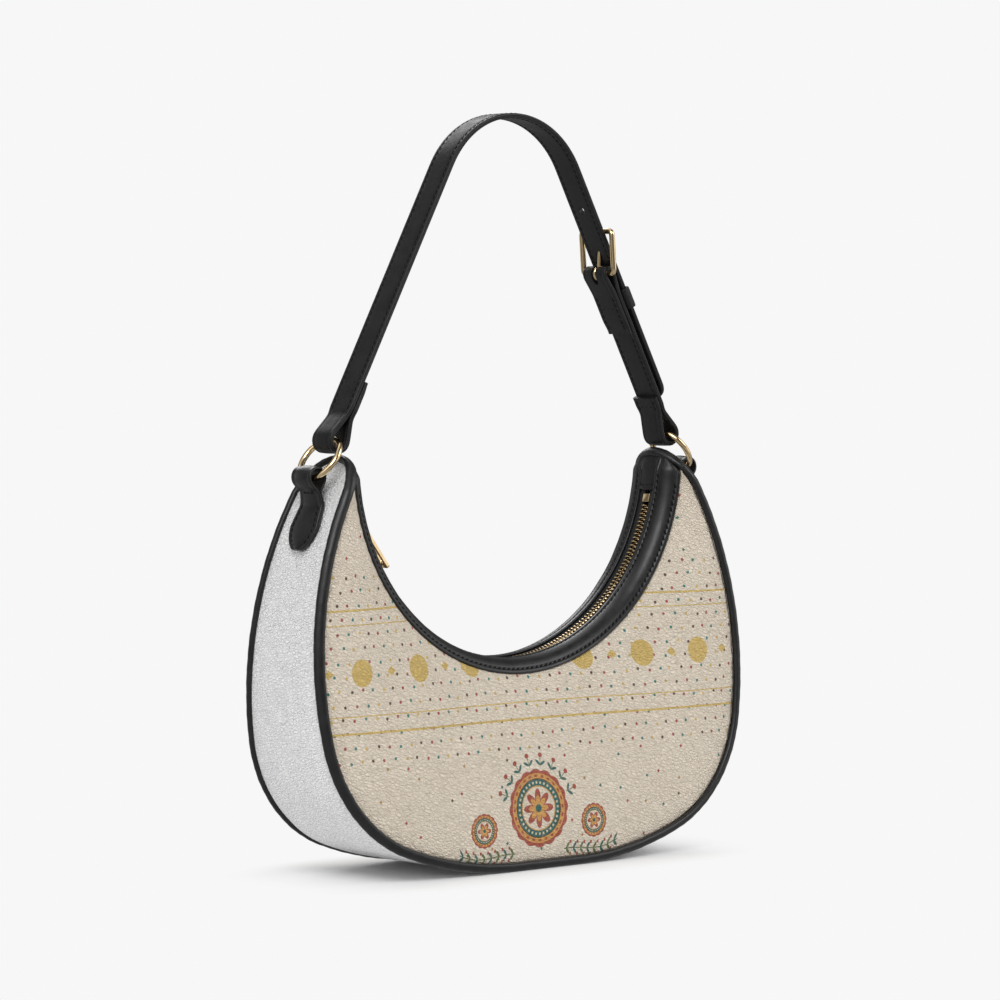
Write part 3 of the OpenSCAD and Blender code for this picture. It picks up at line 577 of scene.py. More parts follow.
def ornament(s, x, z, colour):
    """The generic ornament at the foot of the panel: three rosettes with leaves between them."""
    ink = s.noise(0.7, 3).spread(0.25, 0.42, 0.66, 0.97)
    mx, mz = x - MEDAL_X, z - MEDAL_Z
    colour = rosette(s, colour, mx, mz, MEDAL_R, 4.0, ink)
    # Sprigs that stand round the upper half of the medallion
    turn = mz.op("ARCTAN2", mx)
    cell = (turn / SPRIG_TURN).round()
    around, outward = (turn - cell * SPRIG_TURN) * SPRIG_R, hypot(mx, mz) - SPRIG_R
    upper = abs(cell - 4.5).under(4.0, 0.01)
    colour = s.tint(colour, sprig(s, colour, around, outward, ink), upper)
    # A leafy stem on each side, under the small rosettes
    away = abs(mx)
    on = abs(away - STEM_MID).under(STEM_HALF, 0.3)
    off = abs(z - ((away * 0.11).sin() * 2.6 + away * 0.17 + 3.4))
    colour = s.tint(colour, OLIVE, off.under(0.3, 0.2) * on * ink)
    cell = (away / STEM_PITCH).round()
    leaves = leaf(away - cell * STEM_PITCH, off - 1.5, 0.6, 0.8, 1.7, 0.68) * on * ink
    dark = cell.mod(2.0).under(0.5, 0.01)
    colour = s.tint(colour, OLIVE, leaves * dark)
    colour = s.tint(colour, DEEP_TEAL, leaves * (1.0 - dark))
    colour = s.tint(colour, RUST, hypot(away - (cell * STEM_PITCH + 1.9), off - 3.0).under(0.85, 0.2) * on * ink)
    return rosette(s, colour, away - SMALL_ASIDE, z - SMALL_Z, SMALL_R, 3.0, ink)


GRAIN_LEAN, GRAIN_STRETCH, GRAIN_DEPTH = rad(-26), 0.45, 0.62


def panel_leather(name, mirrored):
    s = Stuff(name, "shell_leather", Specular_IOR_Level=0.4)
    # Long, wavy pebbles that lean across the panel
    warp, wave = s.noise(3.0, 2), s.noise(1.2, 1)
    a, b = math.cos(GRAIN_LEAN), math.sin(GRAIN_LEAN)
    grain = s.pebbles(1.12, s.vector((s.x * a + s.z * b + warp * 2.4) * GRAIN_STRETCH, s.y,
                                     s.z * a - s.x * b + warp * 2.0 + wave * 0.7))
    fine, patchy = s.noise(0.28, 2), s.noise(26, 4)
    colour = s.tint(CREAM, (0.752, 0.664, 0.547), patchy.spread(0.35, 0.7))
    x = -s.x if mirrored else s.x
    colour = ornament(s, x, s.z, print_bands(s, x, s.z, colour))
    # Painted shade: the grain's creases are tinted dark brown, as if in shadow
    colour = s.tint(colour, (0.30, 0.24, 0.175), grain.spread(0.12, 0.46, 0.5, 0))
    gloss = grain.spread(0.1, 0.9, 0.62, 0.47) + fine * 0.08
    return s.paint(colour, gloss, (grain, GRAIN_DEPTH), (fine, 0.012), (patchy, 0.6))


def gusset_leather():
    s = Stuff("gusset_white", "gusset_leather", Specular_IOR_Level=0.4)
    warp, wave = s.noise(2.6, 2), s.noise(1.1, 1)
    grain = s.pebbles(1.15, s.vector(s.x * 0.7 + warp * 1.6, s.y * 0.5 + warp * 1.5,
                                     s.z + s.y * 0.25 + warp * 1.8 + wave * 0.6))
    fine, folds = s.noise(0.3, 2), s.noise(9, 3)
    colour = s.tint((0.925, 0.925, 0.925), (0.975, 0.972, 0.968), folds.spread(0.35, 0.7))
    # Painted shade: the grain's creases are tinted grey, as if in shadow
    colour = s.tint(colour, (0.45, 0.45, 0.465), grain.spread(0.15, 0.55, 0.36, 0))
    gloss = grain.spread(0.1, 0.9, 0.55, 0.40) + fine * 0.08
    return s.paint(colour, gloss, (grain, GRAIN_DEPTH), (fine, 0.03), (folds, 1.2))


WEAVE_PITCH = 0.5


def lining_cloth():
    s = Stuff("lining_cloth", "lining_cloth", rough=0.8)
    k = 2 * math.pi / WEAVE_PITCH
    weave = ((s.x * k).sin() * (s.y * k).cos() + (s.z * k).sin()) * 0.25 + 0.5
    colour = s.tint((0.015, 0.015, 0.016), (0.05, 0.05, 0.052), weave * s.noise(3, 3).spread(0.3, 0.7, 0.5, 1))
    return s.paint(colour, s.noise(1.5, 2).spread(0.3, 0.7, 0.72, 0.9), (weave, 0.12))


def zip_cloth():
    """Herringbone tape: ribs that lean both ways across the tape."""
    s = Stuff("zip_cloth", "zip_tape", rough=0.75)
    along = (MOUTH_Z - s.z).op("ARCTAN2", s.x) * TAPE_R
    rib = ((abs(s.y) * 2.4 + abs((along / 0.55).mod(2.0) - 1.0) * 1.2) * math.pi).sin() * 0.5 + 0.5
    colour = s.tint((0.006, 0.006, 0.007), (0.03, 0.03, 0.032), rib)
    return s.paint(colour, s.noise(1, 2).spread(0.3, 0.7, 0.65, 0.85), (rib, 0.12))


def board():
    s = Stuff("fibre_board", "board", rough=0.85)
    fibre = s.noise(1.2, 5, s.vector(s.x * 0.4, s.y * 1.6, s.z))
    colour = s.tint((0.40, 0.31, 0.21), (0.52, 0.42, 0.30), fibre)
    return s.paint(colour, fibre.spread(0.3, 0.7, 0.8, 0.95), (fibre, 0.1))


def cotton_core():
    s = Stuff("core_cord", "filler_cord", rough=0.85)
    twist = ((s.x + s.y + s.z) * 2.4).sin() * 0.5 + 0.5
    return s.paint(s.tint((0.55, 0.53, 0.50), (0.68, 0.66, 0.62), twist), None, (twist, 0.2))


TRIM = black_leather("trim_black", "trim_leather", 0.38, (0.0075, 0.0075, 0.008), 0.25, 0.4)
STRAP = black_leather("strap_black", "strap_leather", 0.44, (0.0065, 0.0067, 0.007), 0.08, 0.33)
TRIM_THREAD, STRAP_THREAD = thread("trim_thread", "trim_leather"), thread("strap_thread", "strap_leather")
GOLD = gold()
PANEL_FRONT, PANEL_BACK = panel_leather("panel_cream_front", False), panel_leather("panel_cream_back", True)
WHITE, LINING, ZIP_CLOTH, BOARD, CORE = gusset_leather(), lining_cloth(), zip_cloth(), board(), cotton_core()

# ---------------------------------------------------------------- panels and linings

PANEL_TURN, TIP_COLUMN, TIP_TURN = 83, 29.7, 85.5
PANEL_CROWN, UNDER_R = 0.055, 10.7


def mouth_turn(c):
    """The angle of the mouth that column c runs to; past the arches' foot the columns close up."""
    n = np.abs(c)
    past = PANEL_TURN + (TIP_TURN - PANEL_TURN) * (n - COLS[3]) / (TIP_COLUMN - COLS[3])
    return np.sign(c) * np.where(n < COLS[3], PANEL_TURN * n / COLS[3], past)


def panel_face(columns, shares, sink=0.0, soft=1.0):
    """A panel's face as the CAD has it, with a soft leather's small unevenness: rows by columns."""
    c, s = np.meshgrid(columns, shares)
    ox, oz, _ = outline(c, -(PIPING_R + GAP))
    base = half_depth(outline(c)[1])
    mouth = polar(EDGE_R + 2 * GAP, 0, np.radians(mouth_turn(c)))
    mx, mz = mouth[..., 0], mouth[..., 2]
    width = np.hypot(ox - mx, oz - mz)
    x, z = ox + (mx - ox) * s, oz + (mz - oz) * s
    y = base + (EDGE_HALF - base) * s + 4 * PANEL_CROWN * width * s * (1 - s) - sink
    wide = 4 * s * (1 - s) * np.minimum(width / 60, 1) * soft
    y += wide * (0.55 * np.sin(x / 23 + 1) * np.cos(z / 31) + 0.35 * np.sin(x / 11 - z / 17))
    # Soft gathers that run in from the piping and from the mouth
    y += soft * 0.22 * np.sin(c * 4.1 + 1.3 * np.sin(c * 1.7)) * np.exp(-s * width / 7)
    y += soft * 0.15 * np.sin(c * 5.3) * np.exp(-(1 - s) * width / 6)
    # The face rolls in at the piping and steps down under the edge of the placket
    y -= soft * (0.55 * np.exp(-s * width / 1.8) + 0.9 * np.exp(-(1 - s) * width / 1.5))
    return np.stack([x, y, z], axis=2)


def panel(name, sign, node, mat):
    ends = np.linspace(COLS[3], TIP_COLUMN, 14)
    columns = np.concatenate([-ends[:0:-1], np.linspace(-COLS[3], COLS[3], 217), ends[1:]])
    wave = np.cos(np.pi * np.linspace(0, 1, 31))
    rows = []
    for inset, drop in ((1.2, 2.0), (2.0, 1.3)):
        x, z, _ = outline(columns, -inset)
        rows.append(np.stack([x, half_depth(outline(columns)[1]) - drop, z], axis=1))
    face = panel_face(columns, 0.5 - 0.5 * wave * (0.55 + 0.45 * np.abs(wave)))
    turn = np.radians(mouth_turn(columns))
    under = [shoulder_point(UNDER_R, rad(b), turn) for b in (62, 56, 50)]
    grid = np.concatenate([rows, face, under])
    add(name, shell(grid, grid - np.array([0, LEATHER_T, 0])), "bag", node, mat, 60, (1, sign, 1))


def shoulder_point(r, b, turn):
    """A point of the placket's round shoulder, of section radius r and angle b, at an angle of the mouth."""
    return polar(MOUTH_R + SHOULDER_R - r * np.cos(b), SLOT_HALF + r * np.sin(b), turn)


panel("panel_front", -1, "front_panel", PANEL_FRONT)
panel("panel_back", 1, "back_panel", PANEL_BACK)


def lining(name, sign, node, placket_name):
    near = panel_face(np.linspace(-COLS[3], COLS[3], 73), np.linspace(0.01, 0.99, 15), LEATHER_T + GAP + 0.3, 0.4)
    piece = add(name, shell(near, near - np.array([0, LINING_T * 0.6, 0])), "bag", node, LINING, 60, (1, sign, 1))


# ---------------------------------------------------------------- gusset

SETTLE, GUSSET_OUT, GUSSET_CROWN = 40, 0.5, 3.1


def gusset_grid(columns, across, sink, margin, crown=0.0):
    c, w = np.meshgrid(columns, across, indexing="ij")
    h = outline(c)[2]
    base = GUSSET_OUT + (BASE_Z - GUSSET_OUT) * np.maximum(0, 1 - np.abs(h) / SETTLE)
    swell = crown * ease(h, 11, 38) * (1 - ease(h, 80, 102))
    swell -= 0.9 * (crown > 0) * bump_fn(h, 108.2, 1.8) * bump_fn(w, 0, 0.5)
    ripple = 0.16 * np.sin(c * 3.3 + w) * np.sin(w * 4 + c) * ease(h, 25, 40)
    edge = 0.25 * ease(np.abs(w), 0.9, 1.0)
    d = base + (swell + ripple) * (1 - w ** 4) - sink - edge * (sink == 0) * ease(h, 20, 40)
    x, z, _ = outline(c, d)
    return np.stack([x, w * half_depth(outline(c, base - sink)[1], margin), z], axis=2)


def gusset():
    limit = COLS[4] - 0.2
    columns = np.concatenate([np.linspace(-limit, -20, 73), np.linspace(-20, 20, 140)[1:-1],
                              np.linspace(20, limit, 73)])
    across = np.sin(np.linspace(-math.pi / 2, math.pi / 2, 29))
    outer = gusset_grid(columns, across, 0, PIPING_R - 1.3, GUSSET_CROWN)
    inner = gusset_grid(columns, across, LEATHER_T, PIPING_R - 1.3)
    # The inner face stays clear of the zip's end at the tips
    keep = np.maximum(1, (MOUTH_R + 2.2) / np.hypot(inner[..., 0], inner[..., 2] - MOUTH_Z))
    inner[..., 0] *= np.where(inner[..., 2] > ARCH_Z - 30, keep, 1)
    add("gusset_band", shell(outer, inner), "bag", "gusset", WHITE, 60)


gusset()


def gusset_lining():
    sink, margin = LEATHER_T + BOARD_T + 2 * GAP, PIPING_R + LEATHER_T + 2 * GAP
    near, far = (gusset_grid(np.linspace(-25.5, 25.5, 103), np.linspace(-1, 1, 9), d, margin)
                 for d in (sink, sink + LINING_T))
    piece = add("lining_gusset", shell(near, far), "bag", "gusset_lining", LINING, 60)


# ---------------------------------------------------------------- piping


def piping_path():
    """One closed run: up each side between the arches' feet, and over the two tips."""
    c = np.linspace(0, COLS[3], 400)
    low = outline(c)[1] < ARCH_Z - 1.5
    x, z, _ = outline(np.interp(np.linspace(0, 1, 130), np.linspace(0, 1, low.sum()), c[low]))
    side = np.stack([x, half_depth(z), z], axis=1)
    tx = CORNERS[3][0] - RADII[3] * math.sin(rad(TURNS[3]))
    tz = CORNERS[3][1] + RADII[3] * math.cos(rad(TURNS[3]))
    a = np.radians(np.linspace(0, 90, 27))
    az = ARCH_Z + ARCH_H * np.sin(a)
    arch = np.stack([tx + np.sqrt(RADII[3] ** 2 - (az - tz) ** 2), TIP_DEPTH / 2 * np.cos(a), az], axis=1)
    q = np.concatenate([side, arch])
    path = np.concatenate([q * [1, -1, 1], q[-2::-1], q[1:] * [-1, 1, 1], q[-2:0:-1] * [-1, -1, 1]])
    for _ in range(3):
        path = (np.roll(path, 1, 0) + 2 * path + np.roll(path, -1, 0)) / 4
    return path


def piping():
    path = piping_path()
    outward = unit((path - np.array([0, 0, MOUTH_Z / 2])) * [1, 0, 1])
    # The bead is oval and leans over the edge of the panel
    over = -outward + np.clip(path[:, 1:2] / 16, -1, 1) * [0, 1, 0]
    v, f = tube(path, PIPING_R * 0.78, 20, over, closed=True, flat=1.42)
    s = np.arange(len(path)).repeat(20)
    v += np.repeat(outward, 20, 0) * (0.07 * np.sin(s * 1.9) + 0.05 * np.sin(s * 0.77))[:, None]
    v[:, 2] = np.maximum(v[:, 2], 0)
    add("piping_trim", (v, f), "bag", "piping", TRIM, 60)
    core_r = CORE_R * (1 + 0.04 * np.sin(np.arange(len(path)) * 1.5))
    add("piping_filler", tube(path, core_r, 10, outward, closed=True), "bag", "piping_core", CORE, 60)


piping()

# ---------------------------------------------------------------- mouth


def at_mouth(shape, turn):
    """Moves a shape drawn below the mouth's axis to an angle about it, in degrees."""
    return turned(shape, turn, MOUTH_Z)


LIMIT_X, LIMIT_Z, _ = outline(np.linspace(20, COLS[4], 400), -1.4)
TUCK, HEM, FOLD_R = 1.3, 0.45, 0.75
ROW_NEAR, ROW_FAR = rad(8.5), rad(54.5)
PLACKET_END, PLACKET_DIVE = 88.4, 2.2
# The shares of the shoulder's turn at which its face has points, closer at the rows and the hem
SHARES = np.unique(np.concatenate([np.linspace(0, 1, 15), np.array([4, 6.5, 8.5, 10.5, 13]) / 66,
                                   np.array([50, 52.5, 54.5, 56.5, 59, 64, 65.5]) / 66]))


def shoulder_limit(turn):
    """The angle at which the placket goes under the piping at an angle of the mouth."""
    b = np.radians(np.linspace(0, SHOULDER_TURN, 661))
    p = shoulder_point(SHOULDER_R, b, turn)
    inside = np.abs(p[:, 0]) <= np.interp(p[:, 2], LIMIT_Z, LIMIT_X)
    return b[inside][-1] if inside.any() else 0.0


def between_pipings(p, margin):
    """Points of the placket, pressed in where they would stand out past the pipings."""
    room = np.maximum(half_depth(p[:, 2]) - margin, SLOT_HALF + 0.3)
    return np.stack([p[:, 0], np.minimum(p[:, 1], room), p[:, 2]], axis=1)


def shoulder_swell(b):
    """How far the leather stands off its round: a puffed band between two stitched grooves."""
    band = np.sin(np.pi * np.clip((b - ROW_NEAR) / (ROW_FAR - ROW_NEAR), 0, 1))
    groove = bump_fn(b, ROW_NEAR, rad(2.0)) + bump_fn(b, ROW_FAR, rad(2.0))
    return 0.6 * band - 0.3 * groove + 0.25 * bump_fn(b, rad(3), rad(2.6)) + 0.1 * bump_fn(b, rad(60), rad(3))


def placket(sign, name, node):
    rings = []
    for turn in np.radians(np.linspace(-PLACKET_END, PLACKET_END, 355)):
        limit = max(shoulder_limit(turn), rad(1.5))
        b = SHARES * limit
        from_hem = SHOULDER_R * (limit - b)
        rim = np.where(from_hem < HEM, np.sqrt(np.clip(1 - (from_hem / HEM - 1) ** 2, 0, 1)), 1)
        lump = 0.05 * math.sin(turn * 17 + 2 * math.sin(turn * 7)) + 0.02 * math.sin(turn * 61)
        # The ends dive under the piping
        dive = PLACKET_DIVE * ease(abs(math.degrees(turn)), 84.5, PLACKET_END)
        r = SHOULDER_R - dive + shoulder_swell(b) + lump * np.sin(np.pi * b / rad(SHOULDER_TURN)) - 0.35 * (1 - rim)
        top = between_pipings(shoulder_point(r, b, turn), TUCK)
        low = shoulder_point(SHOULDER_R - dive - PLACKET_T, b[::-1], turn)
        # The folded edge along the zip
        q = np.radians([30, 60, 90, 120, 150])
        fold = polar(MOUTH_R + dive + PLACKET_T / 2 + FOLD_R * np.cos(q), SLOT_HALF - FOLD_R * np.sin(q), turn)
        rings.append(np.concatenate([top, between_pipings(low, TUCK + 0.8 * PLACKET_T), fold]))
    add(name, loft(rings), "bag", node, TRIM, 60, (1, sign, 1))


def placket_stitches(sign, name):
    runs = []
    for b, reach in ((ROW_NEAR, 84.6), (ROW_FAR, 81.5)):
        turn = np.radians(np.linspace(-reach, reach, 300))
        turn = turn[[shoulder_limit(t) > b + rad(3) for t in turn]]
        p, q = shoulder_point(SHOULDER_R - 0.05, b, turn), shoulder_point(SHOULDER_R + 1.0, b, turn)
        runs.append((p * [1, sign, 1], (q - p) * [1, sign, 1]))
    sew(name, runs, "bag", TRIM_THREAD, 3.1, 2.15, 0.48, 0.62)


PATCH_FROM, PATCH_HALF, PATCH_BOW = ZIP_TURN + 0.1, 5.9, 0.75


def end_patch(side, name, node):
    """The leather that closes the slot past the zip: a strip with a folded, bowed front edge."""
    rings, w = [], np.linspace(-1, 1, 15)
    for turn in np.linspace(PATCH_FROM, 90.6, 24):
        into = (turn - ZIP_TURN - 0.1) * rad(1) * MOUTH_R
        thick = PLACKET_T * min(1, 0.35 + into / 0.6)
        lift = 0.5 * (1 - w ** 4) - 0.3 * bump_fn(into, 2.4, 0.5) + 0.35 * bump_fn(into, 0.9, 0.6)
        dive = 2.4 * ease(turn, 85.5, 90.0)
        a = np.radians(turn) - PATCH_BOW * (1 - w ** 2) * max(0, 1 - into / 6) / MOUTH_R
        up = polar(MOUTH_R + 0.55 - lift + dive, PATCH_HALF * w, a)
        down = polar(MOUTH_R + 0.75 + thick + dive, PATCH_HALF * w, a)
        rings.append(np.concatenate([up, down[::-1]]))
    add(name, loft(rings), "bag", node, TRIM, 50, (side, 1, 1))
    w = np.linspace(-0.85, 0.85, 12)
    a = rad(PATCH_FROM) + (2.4 - PATCH_BOW * (1 - w * w) * 0.6) / MOUTH_R
    p, q = (polar(r, PATCH_HALF * w, a) * [side, 1, 1] for r in (MOUTH_R + 0.38, MOUTH_R - 1))
    sew(name + "_stitches", [(p, q - p)], "bag", TRIM_THREAD, 3.2, 2.4)


for sign, end in ENDS:
    placket(sign, "placket_" + end, end + "_placket")
for sign, end in ENDS:
    placket_stitches(sign, "placket_stitches_" + end)
for sign, end in ENDS:
    lining("lining_" + end, sign, end + "_lining", "placket_" + end)
gusset_lining()
for side, end in SIDES:
    end_patch(side, "patch_" + end, end + "_end_patch")


# ---------------------------------------------------------------- zip

TAPE_REACH, TAPE_ARC = 13.2, 0.284
TOOTH_PITCH = math.degrees(TOOTH_H / TOOTH_R)
# A tooth from its head to its foot: place across the zip, width along it, and height
TOOTH = ((-1.05, 0.25, 0.6), (-0.9, 0.45, 1.0), (-0.2, 0.55, 1.2), (0.5, 0.5, 1.3), (0.8, 0.6, 1.7),
         (1.2, 0.78, 2.0), (2.3, 0.78, 2.0), (2.55, 0.55, 1.7))


def zip_tape(sign, end):
    far = SHOULDER_R - PLACKET_T - GAP
    ys = np.linspace(TOOTH_REACH - 0.5, SLOT_HALF, 5)
    bends = np.linspace(0, (TAPE_REACH - SLOT_HALF) / far, 7)[1:]
    faces = [[np.concatenate([polar(flat_r, ys, turn), shoulder_point(bend_r, bends, turn)])
              for turn in np.radians(np.linspace(-ZIP_TURN, ZIP_TURN, 159))]
             for flat_r, bend_r in ((TAPE_R + 0.08, far), (TAPE_R + TAPE_T, far - TAPE_T))]
    piece = add("tape_" + end, shell(*faces), "bag", "zip_tape_" + end, ZIP_CLOTH, 60, (1, sign, 1))
    return piece


def zip_teeth(sign, end):
    """Separate clamped teeth whose heads pass the middle and lie between those of the other row."""
    first = SLIDER_TURN + TOOTH_PITCH / 4
    count = int((STOP_TURN - first - TOOTH_PITCH) / TOOTH_PITCH)
    first += TOOTH_PITCH * (0.75 if end == "back" else 0.25)
    rings = []
    for y, w, h in TOOTH:
        sec = rounded_rect(w / 2, h / 2, 0.22, 2)
        rings.append(np.column_stack([sec[:, 0], np.full(len(sec), y), sec[:, 1] - TOOTH_R - 0.1]))
    row = merge([at_mouth(loft(rings), first + k * TOOTH_PITCH) for k in range(count)])
    return add("teeth_" + end, row, "bag", "zip_teeth_" + end, GOLD, 30, (1, sign, 1))


tapes = [zip_tape(sign, end) for sign, end in ENDS]
teeth = [zip_teeth(sign, end) for sign, end in ENDS]
for (sign, end), *pieces in zip(ENDS, tapes, teeth):
    for piece in pieces:
        sign * 0.012
        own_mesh(piece)


def zip_stops():
    v, f = boxy(4.4, 4.9, 2.4, 0.35)
    v[:, 2] += -TOOTH_R - 0.1 + 0.12 * np.cos(v[:, 1])
    add("stop_bottom", at_mouth((v, f), STOP_TURN), "bag", "zip_bottom_stop", GOLD)
    pair = merge([boxy(2.2, 2.1, 2.2, 0.3, (0, side * 1.35, -TOOTH_R)) for side in (-1, 1)])
    turn = SLIDER_TURN - math.degrees((SLIDER_L / 2 + TOOTH_H) / TOOTH_R)
    add("stop_top", at_mouth(pair, turn), "bag", "zip_top_stops", GOLD)


zip_stops()

# ---------------------------------------------------------------- slider and puller

PLATE_T, BRIDGE_R, BRIDGE_WIRE, PIN_D = 1.2, 3, 1.2, 1.4
PULLER_LEAN = 7         # towards the front, as loose pullers hang
CHANNEL = TOOTH_H + 2 * GAP
SLIDER_TOP_R = TOOTH_R - CHANNEL / 2 - PLATE_T
PIN_R = SLIDER_TOP_R - BRIDGE_R + BRIDGE_WIRE / 2 + GAP + PIN_D / 2


def slider_outline(inset):
    """A shield: round where the tapes part, straight where they leave joined."""
    half, end, tail = SLIDER_W / 2, SLIDER_L / 2, SLIDER_W * 0.4
    a = np.radians(np.linspace(90, 270, 19))
    round_end = np.stack([-end + half + (half - inset) * np.cos(a), (half - inset) * np.sin(a)], axis=1)
    return np.concatenate([round_end, [(end - 0.9, -tail + inset), (end - inset, -tail + 0.9),
                                       (end - inset, tail - 0.9), (end - 0.9, tail - inset)]])


def slider():
    shapes = []
    for side in (1, -1):
        mid = -TOOTH_R + side * (CHANNEL + PLATE_T) / 2
        shapes.append(slab(slider_outline, mid - PLATE_T / 2, mid + PLATE_T / 2, 0.35, 4))
    h = (CHANNEL - TAPE_T) / 2 - GAP
    shapes += [boxy(SLIDER_L * 0.62, 1, h + 0.15, 0.12, (SLIDER_L / 8, sy * (TOOTH_REACH + GAP + 0.5),
                                                       -TOOTH_R + sz * (CHANNEL - h + 0.15) / 2))
               for sy in (-1, 1) for sz in (-1, 1)]
    shapes.append(boxy(1.8, 1.8, CHANNEL + PLATE_T, 0.4, (-SLIDER_L / 2 + 1.8, 0, -TOOTH_R)))
    a = np.radians(np.linspace(-14, 194, 31))
    bridge = np.stack([BRIDGE_R * np.cos(a), 0 * a, -SLIDER_TOP_R + BRIDGE_R * np.sin(a)], axis=1)
    shapes.append(tube(bridge, BRIDGE_WIRE / 2 * (1 + 0.12 * np.cos(a) ** 2), 14, (0, 1, 0)))
    add("slider_body", at_mouth(merge(shapes), SLIDER_TURN), "slider", "zip_slider", GOLD)


slider()


def puller():
    """A flat bar with a slot near its end, on a pin through the slider's bridge."""
    bar_from = BRIDGE_R + BRIDGE_WIRE + GAP

    def plate(z, hx, hy, r, k, mid):
        return slab(lambda inset: rounded_rect(hx - inset, hy - inset, r, k) + np.array([mid, 0]), -z, z, 0.01, 2)
    bar = plate(PULLER_T / 2, (PULLER_L - 0.2) / 2, PULLER_W / 2, 0.9, 5, (PULLER_L + 0.2) / 2)
    slot = plate(3, 2.9, 1.1, 1.05, 7, PULLER_L - PULLER_W)
    eye = plate(3, (bar_from + 4) / 2, 1.4, 0.9, 5, (bar_from - 4) / 2)
    pin = tube([(0, y, 0) for y in (-2.2, -2.0, 2.0, 2.2)], PIN_D / 2, 20, (1, 0, 0))
    v, f = merge([cut(bar, [slot, eye], 0.22), pin])
    # A slight thinning towards the slot's end, as on a pressed bar
    v[:, 2] *= 1 - 0.12 * ease(v[:, 0], 12, 30)
    v[:, 1] -= math.tan(rad(PULLER_LEAN)) * np.maximum(v[:, 0] - 5, 0)
    hung = turned((v, f), PULLER_TURN, -PIN_R)
    add("puller_bar", at_mouth(hung, SLIDER_TURN), "puller", "zip_puller", GOLD)


puller()

# ---------------------------------------------------------------- rings, and the run of the strap in X and Z

RING = np.array([TIP[0] + 12.3, TIP[1] + 0.5])
RING_WAY = np.array([-math.sin(rad(RING_LEAN)), math.cos(rad(RING_LEAN))])
LOOP_SEAT = RING_R - 1
TOP_LOOP, LOW_LOOP = RING + LOOP_SEAT * RING_WAY, RING - LOOP_SEAT * RING_WAY
STRAP_T = 2 * PLY_T
PLY_OFFSET = (STRAP_T + GAP) / 2
LOOP_MID_R = 4 + PLY_T
PINCH_D, SHORT_TOP_D = 13, HEEL_D - 11      # where the plies meet over a ring's loop and under the heel
HEEL_LOOP_R = BUCKLE_WIRE / 2 + GAP + PLY_T
TAIL_OFFSET = HEEL_LOOP_R + STRAP_T + GAP
LONG_FOLD_D, SHORT_FOLD_LOW_D, SHORT_FOLD_HIGH_D, TAIL_END_D = 32, 22, HEEL_D - 34, 18
LEG_OUT = np.array([math.cos(rad(LEG_LEAN)), math.sin(rad(LEG_LEAN))])
LEG_WAY = np.array([-LEG_OUT[1], LEG_OUT[0]])
CROSS_Y = np.array([0, 1, 0])


def ring(side, end):
    a = 2 * math.pi * np.arange(120)[:, None] / 120
    path = RING_R * (np.cos(a) * np.insert(RING_WAY, 1, 0) + np.sin(a) * CROSS_Y)
    v, f = tube(path, RING_WIRE / 2, 28, (RING_WAY[1], 0, -RING_WAY[0]), closed=True)
    add("ring_wire_" + end, (v + np.insert(RING, 1, 0), f), "ring_" + end, end + "_ring", GOLD, 60, (side, 1, 1))


for side, end in SIDES:
    ring(side, end)


def leg_point(d, offset, side=1):
    """A point at a distance along a leg of the strap from its ring's loop, and at an offset across it."""
    return (TOP_LOOP + d * LEG_WAY + offset * LEG_OUT) * [side, 1]


def leg_world(p, side=1):
    """Leg-frame points (across, y, along) in the bag's frame."""
    p = np.asarray(p, float)
    xz = TOP_LOOP + p[..., :1] * LEG_OUT + p[..., 2:] * LEG_WAY
    return np.stack([side * xz[..., 0], p[..., 1], xz[..., 1]], axis=-1)


def on_leg(shape):
    return leg_world(shape[0]), shape[1]


def arc(c, r, a0, a1, n):
    a = np.radians(np.linspace(a0, a1, n + 1))
    return list(np.stack([c[0] + r * np.cos(a), c[1] + r * np.sin(a)], axis=1))


def wrap(p, c, r, q, sense, n):
    """The way round a circle from one point to another, on the far side of it."""
    p, c, q = np.array(p, float), np.array(c, float), np.array(q, float)

    def leaves(u, way):
        to = u - c
        return math.degrees(math.atan2(to[1], to[0]) + way * math.acos(r / np.linalg.norm(to)))
    a, b = leaves(p, sense), leaves(q, -sense)
    turn = (b - a + 720) % 360 if sense > 0 else -((a - b + 720) % 360)
    return [p] + arc(c, r, a, a + turn, n) + [q]


REACH = TOP_LOOP @ LEG_OUT
APEX = np.array([(TAIL_OFFSET - PLY_OFFSET) / 2 / LEG_OUT[0],
                 (REACH + (TAIL_OFFSET + PLY_OFFSET) / 2 - APEX_R) / LEG_OUT[1]])
LONG_PATH = ([leg_point(LONG_FOLD_D, -PLY_OFFSET, -1)]
             + wrap(leg_point(PINCH_D, -PLY_OFFSET, -1), TOP_LOOP * [-1, 1], LOOP_MID_R,
                    leg_point(PINCH_D, PLY_OFFSET, -1), -1, 24)
             + arc(APEX, APEX_R, 180 - LEG_LEAN, LEG_LEAN, 40) + [leg_point(TAIL_END_D, TAIL_OFFSET)])
# The short strap's run is in its leg's own plane: across and along
SHORT_PATH = ([np.array([-PLY_OFFSET, SHORT_FOLD_LOW_D])]
              + wrap((-PLY_OFFSET, PINCH_D), (0, 0), LOOP_MID_R, (PLY_OFFSET, PINCH_D), 1, 24)
              + wrap((PLY_OFFSET, SHORT_TOP_D), (0, HEEL_D), HEEL_LOOP_R, (-PLY_OFFSET, SHORT_TOP_D), 1, 24)
              + [np.array([-PLY_OFFSET, SHORT_FOLD_HIGH_D])])
# The lean of the buckle's frame and of its prong to the leg, and the place of the hole in use
TILT = math.degrees(math.asin((TAIL_OFFSET + (STRAP_T + BUCKLE_WIRE) / 2 + GAP) / BUCKLE_L))
RISE = TILT + math.degrees(math.asin(((BUCKLE_WIRE + PRONG_D) / 2 + GAP / 3) / BUCKLE_L))
USED_D = HEEL_D + TAIL_OFFSET / math.tan(rad(RISE))

# ---------------------------------------------------------------- strap

ROW_IN = 2.3            # stitch rows from the strap's edges
